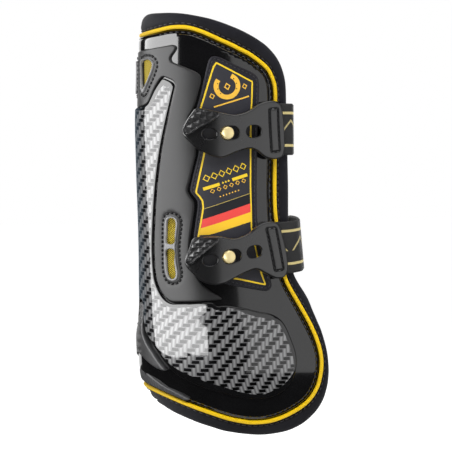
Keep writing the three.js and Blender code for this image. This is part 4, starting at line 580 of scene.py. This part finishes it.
# ------------------------------------------------------------------ label
label_line = rom(LABEL, 0.8); yl = rom(YLINE, 0.9, True, False)
def is_edge(s, z): return (~inside(np.stack([s, z], 1), [yl])).astype(int)
reg = Region(label_line, h=2.0, insets=(0.08, 0.3, 0.6, 0.95, 1.3, 1.6, 1.95, 2.4, 3.0), raw=True, cuts=[np.concatenate([yl, yl[:1]])])
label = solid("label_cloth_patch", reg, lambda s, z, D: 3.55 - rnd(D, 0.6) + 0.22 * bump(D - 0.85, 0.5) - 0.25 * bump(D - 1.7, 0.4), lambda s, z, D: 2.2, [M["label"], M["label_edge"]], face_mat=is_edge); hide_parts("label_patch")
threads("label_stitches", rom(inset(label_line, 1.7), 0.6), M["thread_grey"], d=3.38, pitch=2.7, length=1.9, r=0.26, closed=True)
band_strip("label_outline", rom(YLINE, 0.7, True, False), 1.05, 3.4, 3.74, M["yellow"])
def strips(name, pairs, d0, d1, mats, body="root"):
    V, F, uv, n = [], [], [], 0
    for a, b, closed in pairs:
        a, b = A2(a), A2(b); m = len(a); q = np.concatenate([a, b]); V += [P(q[:, 0], q[:, 1], d1), P(q[:, 0], q[:, 1], d0)]; uv += [q, q]
        for i in range(m if closed else m - 1):
            j = (i + 1) % m; T = lambda k: n + k; Bt = lambda k: n + 2*m + k
            F += [(T(i), T(j), T(m + j), T(m + i)), (Bt(m + i), Bt(m + j), Bt(j), Bt(i)), (T(j), T(i), Bt(i), Bt(j)), (T(m + i), T(m + j), Bt(m + j), Bt(m + i))]
        if not closed: F += [(T(0), T(m), Bt(m), Bt(0)), (T(m - 1), Bt(m - 1), Bt(2*m - 1), T(2*m - 1))]
        n += 4 * m
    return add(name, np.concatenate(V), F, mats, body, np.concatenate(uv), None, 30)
def seg(p0, p1, w, n=14):                          # a straight bar between two points
    p0, p1 = A2(p0), A2(p1); t = (p1 - p0) / np.linalg.norm(p1 - p0); k = np.array([-t[1], t[0]]) * w / 2; x = np.linspace(0, 1, n)[:, None]
    c = p0 + (p1 - p0) * x; return (c - k, c + k, False)
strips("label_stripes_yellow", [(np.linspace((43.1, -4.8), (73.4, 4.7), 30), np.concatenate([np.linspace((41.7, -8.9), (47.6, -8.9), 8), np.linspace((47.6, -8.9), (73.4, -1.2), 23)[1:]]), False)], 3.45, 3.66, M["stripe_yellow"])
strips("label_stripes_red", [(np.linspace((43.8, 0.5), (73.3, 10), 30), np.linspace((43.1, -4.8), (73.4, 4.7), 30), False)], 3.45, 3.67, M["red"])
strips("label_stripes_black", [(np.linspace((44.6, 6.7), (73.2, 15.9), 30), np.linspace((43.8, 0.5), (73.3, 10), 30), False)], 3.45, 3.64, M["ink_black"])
tilt = math.radians(17.6); e1, e2 = np.array([math.cos(tilt), math.sin(tilt)]), np.array([-math.sin(tilt), math.cos(tilt)])
def diamond(c, w, h, t): # a diamond ring
    c = A2(c); o = [c + e1 * x + e2 * y for x, y in ((-w/2, 0), (0, -h/2), (w/2, 0), (0, h/2))]; i = [c + (p - c) * (1 - 2 * t / min(w, h)) for p in o]; return (o, i, True)
def bead(c, w, h):
    c = A2(c); return ([c - e1*w/2 - e2*.01, c - e2*h/2, c + e1*w/2 - e2*.01], [c - e1*w/2 + e2*.01, c + e2*h/2, c + e1*w/2 + e2*.01], False)
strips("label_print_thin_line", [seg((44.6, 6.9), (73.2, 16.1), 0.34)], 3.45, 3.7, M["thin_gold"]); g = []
p0 = np.array([44.9, 22.4])
g += [seg((44.6, 18.9), (54.2, 21.9), 1.9), seg((62.2, 24.5), (71.8, 27.5), 1.9)]
g += [diamond(p0 + e1 * (2.5 + 4.75 * i) + e2 * 2.4, 4.4, 4.6, 0.62) for i in range(6)]
g += [bead(np.array([56.2, 22.7]) + e1 * 1.9 * i, 1.4, 1.4) for i in range(3)]
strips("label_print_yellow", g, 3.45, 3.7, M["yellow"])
g = [diamond(np.array([48.6, 16.3]) + e1 * (1.6 + 4.1 * i) + e2 * 0.9, 3.0, 2.9, 0.5) for i in range(6)]
g += [bead(np.array([54.5, 14.4]) + e1 * 2.0 * i, 1.1, 1.1) for i in range(7)]
hc = np.array([59.3, 81.3]); ang = np.radians(np.linspace(-232, 52, 60)); ea = lambda r, k: np.array([hc + e1 * r * math.cos(a) * 1.02 + e2 * r * math.sin(a) * k for a in ang])
g += [(ea(8.2, 0.98), ea(5.3, 0.98), False), seg(hc - e1 * 11.5 - e2 * 9.8, hc + e1 * 11.5 - e2 * 9.8, 0.9)]
g += [diamond(hc + e1 * 10.6 * k - e2 * 3.2, 3.4, 3.8, 0.7) for k in (-1, 1)]
g += [diamond(hc - e2 * 0.2, 4.2, 4.6, 0.8)]
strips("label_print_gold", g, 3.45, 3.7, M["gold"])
g = [bead(hc + e1 * 6.6 * math.cos(math.radians(a)) * 0.92 + e2 * 6.6 * math.sin(math.radians(a)) * 0.95, 0.9, 0.9) for a in (-210, -180, -150, -30, 0, 30)]
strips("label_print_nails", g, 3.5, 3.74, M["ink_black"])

# ------------------------------------------------------------------ studs
for name, c in (("upper", UPPER_STUD), ("lower", LOWER_STUD)):
    prof = [(0.02, 0.1), (2.0, 0.1), (2.0, 3.5), (4.4, 3.55), (4.5, 3.8), (4.4, 4.1), (2.3, 4.3), (2.0, 4.6), (2.0, 9.7), (2.3, 9.95), (3.3, 10.0), (3.6, 10.12), (3.75, 10.4), (3.75, 10.7), (3.68, 10.95), (3.48, 11.17), (3.1, 11.36), (2.5, 11.53), (1.8, 11.66), (1.1, 11.74), (0.5, 11.78), (0.02, 11.79)]
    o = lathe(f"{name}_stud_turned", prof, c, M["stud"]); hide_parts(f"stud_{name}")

# ------------------------------------------------------------------ tabs and grips
def oval(c, half, r, tilt, n=16):
    a = math.radians(tilt); e = half - r; out = []
    for k in (0, 1):
        for i in range(n // 2 + 1):
            t = (math.pi / 2 if k else -math.pi / 2) + i / (n / 2) * math.pi; x, y = (-e if k else e) + r * math.cos(t), r * math.sin(t)
            out.append((c[0] + x * math.cos(a) - y * math.sin(a), c[1] + x * math.sin(a) + y * math.cos(a)))
    return A2(out)
def tab_pieces(which, outline, slots, tilt, rect, grip, gdir, body):
    line = rom(outline, 0.8); holes = [rom(oval(c, c[2] - 0.4, c[3] - 0.25, tilt), 0.4) for c in slots]
    rc = rom(A2(rect), 0.6, True, False); rr = rom(inset(rc, 0.15), 0.7, True, True); cen = A2(rect).mean(0)
    def top(s, z, D):
        q = np.stack([s, z], 1); g = dist_to(q, [(rr, True)]); Do = dist_to(q, [(line, True)])
        return 9.35 - rnd(Do, 1.15) - rnd(np.where(D < Do - 1e-3, D, 9), 0.45) - 0.42 * bump(g, 0.5) + 0.18 * inside(q, [rr]) * step01(g / 0.9)
    def bot(s, z, D): return 6.9 + rnd(D, 0.6)
    reg = Region(line, holes, h=1.6, hb=0.8, insets=rings(1.1), raw=True, lines=[(np.concatenate([rr, rr[:1]]), (-1.0, -0.5, -0.25, 0, 0.25, 0.5, 1.0), 0.7)])
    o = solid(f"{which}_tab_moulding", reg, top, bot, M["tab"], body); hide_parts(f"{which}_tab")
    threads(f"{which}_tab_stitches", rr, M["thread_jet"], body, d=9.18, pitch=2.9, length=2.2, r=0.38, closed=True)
    gl = rom(grip, 0.6); a = math.radians(gdir); f1, f2 = np.array([math.cos(a), math.sin(a)]), np.array([-math.sin(a), math.cos(a)]); o0 = A2(grip).mean(0); y0 = (gl - o0) @ f2
    wide = float(np.ptp(y0)) - 1.8; pt = wide / 2.3; H = 0.42 * pt; y0 = float(y0.min()) + 0.9
    k = np.arange(-48, 49) * pt / 4; ga, gb = np.meshgrid(k, k); ga, gb = np.append(ga, ga + pt / 8), np.append(gb, gb + pt / 8); free = o0 + ga[:, None] * f1 + (gb[:, None] + y0) * f2
    def gtop(s, z, D):
        q = np.stack([s, z], 1) - o0; x, y = q @ f1 / pt, (q @ f2 - y0) / pt; x, y = x - np.floor(x) - 0.5, y - np.floor(y) - 0.5
        pyr = H * (1 - 2 * np.maximum(np.abs(x), np.abs(y)))
        return 10.9 - rnd(D, 0.3) + 0.8 * bump(D - 0.45, 0.32) + pyr * step01((D - 0.72) / 0.2)
    reg = Region(gl, h=9, insets=(0.04, 0.14, 0.3, 0.45, 0.6, 0.76), raw=True, free=free)
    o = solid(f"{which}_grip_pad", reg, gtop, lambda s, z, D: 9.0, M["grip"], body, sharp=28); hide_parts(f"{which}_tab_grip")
tab_pieces("upper", UTAB, UPPER_SLOTS, UPPER_TILT, URECT, UGRIP, 35.0, "upper_tab_body")
tab_pieces("lower", LTAB, LOWER_SLOTS, LOWER_TILT, LRECT, LGRIP, 47.0, "lower_tab_body")

# ------------------------------------------------------------------ elastics
def rails(hinge, edge, bow, inner, rise, sag=0.0):
    """Top and bottom rail on the outer side, from under the tab to the middle of the open front."""
    (h0, z0), (h1, z1) = hinge; T, B = [], []
    for s0, z, es, out in ((h0, z0, edge[0], T), (h1, z1, edge[1], B)):
        tau = np.linspace(-inner, es - s0, 40, endpoint=False); w = np.sin(np.pi * np.clip(3 * (tau - 0.5) / (es - s0 - 0.5), 0, 3) / 18) ** 2
        p = P(s0 + tau, np.full(40, z), 5.5); p[:, 2] += rise * w; a = P(es, z, 5.5); t = P(es + 1, z, 5.5) - P(es - 1, z, 5.5); t[2] = 0; t /= np.linalg.norm(t)
        c0, c1 = a, a + t * bow; c2, c3 = c1 * [1, -1, 1], c0 * [1, -1, 1]; u = np.linspace(0, 0.5, 40)[:, None]
        q = (1-u)**3 * c0 + 3*(1-u)**2*u * c1 + 3*(1-u)*u*u * c2 + u**3 * c3; q[:, 2] += rise * np.sin(np.pi * (3 + 12 * u[:, 0]) / 18) ** 2 - sag * np.sin(2 * np.pi * u[:, 0]) ** 2
        out += [p, q]
    return np.concatenate(T), np.concatenate(B)
def elastic(name, hinge, edge, bow, inner, rise, side, H=1.6):
    T, B = rails(hinge, edge, bow, inner, rise, 0.0 if side > 0 else 2.4 * rise)
    if side < 0: T, B = T * [1, -1, 1], B * [1, -1, 1]
    C = (T + B) / 2; t = np.gradient(C, axis=0); t /= np.linalg.norm(t, axis=1, keepdims=True); up = T - B; w = np.linalg.norm(up, axis=1); up /= w[:, None]
    N = np.cross(up, t); N /= np.linalg.norm(N, axis=1, keepdims=True)
    if (N[0] @ [0, -side, 0.0]) < 0: N = -N
    L = np.concatenate([[0], np.cumsum(np.linalg.norm(np.diff(C, axis=0), axis=1))]); u = (L[-1] - L) * side
    k = np.linspace(-0.5, 0.5, 33); edge_d = (0.5 - np.abs(k)) * 31.8; th = H / 2 * np.sqrt(np.clip(1 - (1 - np.clip(edge_d / 0.8, 0, 1)) ** 2, 0.02, 1))
    front = C[:, None] + up[:, None] * (k[None, :, None] * w[:, None, None]) + N[:, None] * th[None, :, None]; back = C[:, None] + up[:, None] * (k[None, :, None] * w[:, None, None]) - N[:, None] * th[None, :, None]
    V = np.concatenate([front, back[:, ::-1]], 1); n, m = V.shape[:2]; vv = np.concatenate([k, k[::-1]]) * 31.8
    uv = np.stack([np.repeat(u, m), np.tile(vv, n)], 1)
    F = [(i*m + j, i*m + (j+1) % m, (i+1)*m + (j+1) % m, (i+1)*m + j) for i in range(n-1) for j in range(m)] + [tuple(range(m))[::-1], tuple((n-1)*m + j for j in range(m))]
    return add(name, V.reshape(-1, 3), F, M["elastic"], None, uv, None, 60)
UH, LH = [[95.3, 71.4], [95.3, 39.6]], [[92.0, -1.8], [97.5, -33.6]]
for which, hinge, edge, bow, rise in (("upper", UH, (100.2, 100.2), 7.2, 0.0), ("lower", LH, (101.5, 105.0), 11.8, 2.5)):
    sm, zm = (hinge[0][0] + hinge[1][0]) / 2, (hinge[0][1] + hinge[1][1]) / 2
    o = elastic(f"{which}_elastic_outer", hinge, edge, bow, 14.5, rise, 1); a, b = P(sm + 5.0, zm, 5.5), P(sm - 5.0, zm, 5.5)
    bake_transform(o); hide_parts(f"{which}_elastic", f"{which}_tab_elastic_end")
    o = elastic(f"{which}_elastic_inner", hinge, edge, bow, 19.0, rise, -1); a, b = a * [1, -1, 1], b * [1, -1, 1]
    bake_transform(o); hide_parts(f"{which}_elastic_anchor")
    (h0, z0), (h1, z1) = hinge
    box = A2([[-(h0 - 17.5), z0 - 1.6], [-(h0 - 7.5), z0 - 1.6], [-(h1 - 7.5), z1 + 1.6], [-(h1 - 17.5), z1 + 1.6]])
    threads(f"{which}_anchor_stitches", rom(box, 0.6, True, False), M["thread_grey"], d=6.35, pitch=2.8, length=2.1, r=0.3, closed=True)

# ------------------------------------------------------------------ gel pads and inner stitches
for side, f in SIDES:
    gl = rom(f(GEL), 1.0)
    def gtop(s, z, D):
        a, b = np.cos(2 * np.pi * (s * 0.5 + z * 0.866) / 6.0), np.cos(2 * np.pi * (s * 0.5 - z * 0.866) / 6.0); c = np.cos(2 * np.pi * s / 6.0)
        return -9.0 + rnd(D, 1.4) - 0.32 * np.clip((a + b + c) / 1.5, -0.5, 1) * step01(D / 3)
    reg = Region(gl, h=1.25, insets=rings(1.4), raw=True)
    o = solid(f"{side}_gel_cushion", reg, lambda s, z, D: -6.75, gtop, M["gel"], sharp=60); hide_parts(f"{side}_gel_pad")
for node, m in (("stud_backplate_upper", "plate"), ("stud_backplate_lower", "plate")):
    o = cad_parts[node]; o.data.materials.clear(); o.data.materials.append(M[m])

# ------------------------------------------------------------------ floor, light and camera
sc = bpy.context.scene
sc.view_settings.view_transform = "Standard"; sc.view_settings.look = "None"
me = bpy.data.meshes.new("floor"); me.from_pydata([(-6, -6, -0.3), (6, -6, -0.3), (6, 6, -0.3), (-6, 6, -0.3)], [], [(0, 1, 2, 3)])
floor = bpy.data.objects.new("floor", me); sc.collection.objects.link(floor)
fm = bpy.data.materials.new("floor_pale"); fm.use_nodes = True; fb = fm.node_tree.nodes["Principled BSDF"]
fb.inputs["Base Color"].default_value = (0.3, 0.3, 0.3, 1); fb.inputs["Roughness"].default_value = 1.0; fb.inputs["Emission Color"].default_value = (1, 1, 1, 1); fb.inputs["Emission Strength"].default_value = 1.0
me.materials.append(fm); floor.visible_glossy = False
w = bpy.data.worlds.new("studio"); sc.world = w; w.use_nodes = True; nt = w.node_tree; bg = nt.nodes["Background"]
bg.inputs[0].default_value = (1, 1, 1, 1); bg.inputs[1].default_value = 0.02
bg2 = nt.nodes.new("ShaderNodeBackground"); bg2.inputs[0].default_value = (1, 1, 1, 1); bg2.inputs[1].default_value = 1.0; lp = nt.nodes.new("ShaderNodeLightPath"); mx = nt.nodes.new("ShaderNodeMixShader")
nt.links.new(lp.outputs["Is Camera Ray"], mx.inputs[0]); nt.links.new(bg.outputs[0], mx.inputs[1]); nt.links.new(bg2.outputs[0], mx.inputs[2]); nt.links.new(mx.outputs[0], nt.nodes["World Output"].inputs[0])
def softbox(name, az, dist, z, width, height, radiance, glossy=True, diffuse=True, tilt_to=None, only=None):
    a = math.radians(az); loc = Vector((dist * math.cos(a), dist * math.sin(a), z))
    L = bpy.data.lights.new(name, "AREA"); L.shape = "RECTANGLE"; L.size, L.size_y = width, height; L.energy = radiance * math.pi * width * height
    o = bpy.data.objects.new(name, L); sc.collection.objects.link(o); o.location = loc
    aim = Vector((0, 0, z if tilt_to is None else tilt_to)); o.rotation_euler = (aim - loc).to_track_quat("-Z", "Y").to_euler()
    o.visible_camera = False; o.visible_glossy = glossy; o.visible_diffuse = diffuse
    if only:
        c = bpy.data.collections.new(name + "_on"); [c.objects.link(q) for q in only]; o.light_linking.receiver_collection = c
    return o
tabs = [PIECES["upper_tab_moulding"], PIECES["lower_tab_moulding"]]; grips = [PIECES["upper_grip_pad"], PIECES["lower_grip_pad"]]
rest = [o for n, o in PIECES.items() if n not in ("shell_wall", "tendon_frame_skin", "upper_tab_moulding", "lower_tab_moulding")]
guard = [PIECES["carbon_guard_skin"]]; but_guard = [o for o in PIECES.values() if o not in guard]
softbox("left_wall", 182.0, 0.60, 0.178, 1.01, 0.645, 4.4, diffuse=False, only=[o for o in but_guard if o is not shell])
softbox("left_shell", 182.0, 0.60, 0.28, 1.01, 0.44, 4.4, diffuse=False, only=[shell])
softbox("left_carbon", 190.0, 0.60, 0.155, 0.75, 0.69, 4.2, diffuse=False, only=guard)
softbox("left_frame", -129, 0.62, 0.0, 0.195, 0.5, 3.6, diffuse=False, only=[PIECES["tendon_frame_skin"]])
softbox("left_wing", -118, 0.62, -0.015, 0.451, 0.27, 4.2, diffuse=False, only=rest)
softbox("right_wall", -49.5, 0.62, -0.02, 0.439, 0.56, 0.62, diffuse=False, only=[o for o in PIECES.values() if o not in tabs])
softbox("right_tab", -51.5, 0.62, -0.02, 0.57, 0.56, 0.66, diffuse=False, only=tabs)
softbox("grip_key", 157, 0.55, 0.56, 0.8, 0.6, 8.0, diffuse=False, tilt_to=0.05, only=grips)
softbox("grip_low", -75, 0.62, -0.24, 0.45, 0.12, 4.0, diffuse=False, tilt_to=0.03, only=grips)
softbox("back_dim", 108, 0.75, 0.15, 0.90, 0.6, 0.17, diffuse=False, only=[PIECES["carbon_guard_skin"]]).data.color = (0.55, 0.78, 1.0)
softbox("back_wall", 80, 0.7, 0.1, 0.9, 0.7, 0.9, diffuse=False, only=but_guard)
softbox("top_panel", -60, 0.35, 0.9, 0.8, 0.8, 1.2, tilt_to=0.0)
softbox("front_soft", -85, 0.75, 1.0, 0.7, 0.5, 13.0, glossy=False, tilt_to=0.0)
softbox("left_soft", 185, 1.0, 0.4, 0.8, 0.8, 3.0, glossy=False, tilt_to=0.0)
softbox("back_soft", 90, 1.1, 0.5, 0.8, 0.8, 4.0, glossy=False, tilt_to=0.0)
softbox("low_soft", 0, 1.0, 0.2, 0.8, 0.8, 2.5, glossy=False, tilt_to=0.0)

cam = bpy.data.cameras.new("camera"); co = bpy.data.objects.new("camera", cam); sc.collection.objects.link(co); sc.camera = co
cam.sensor_width = 36.0; cam.lens = 101.13; cam.shift_y = -63.5 / 452; cam.clip_end = 50
co.location = (-0.20537, -0.77335, 0.035); co.rotation_euler = (math.radians(90), 0, math.radians(-16))
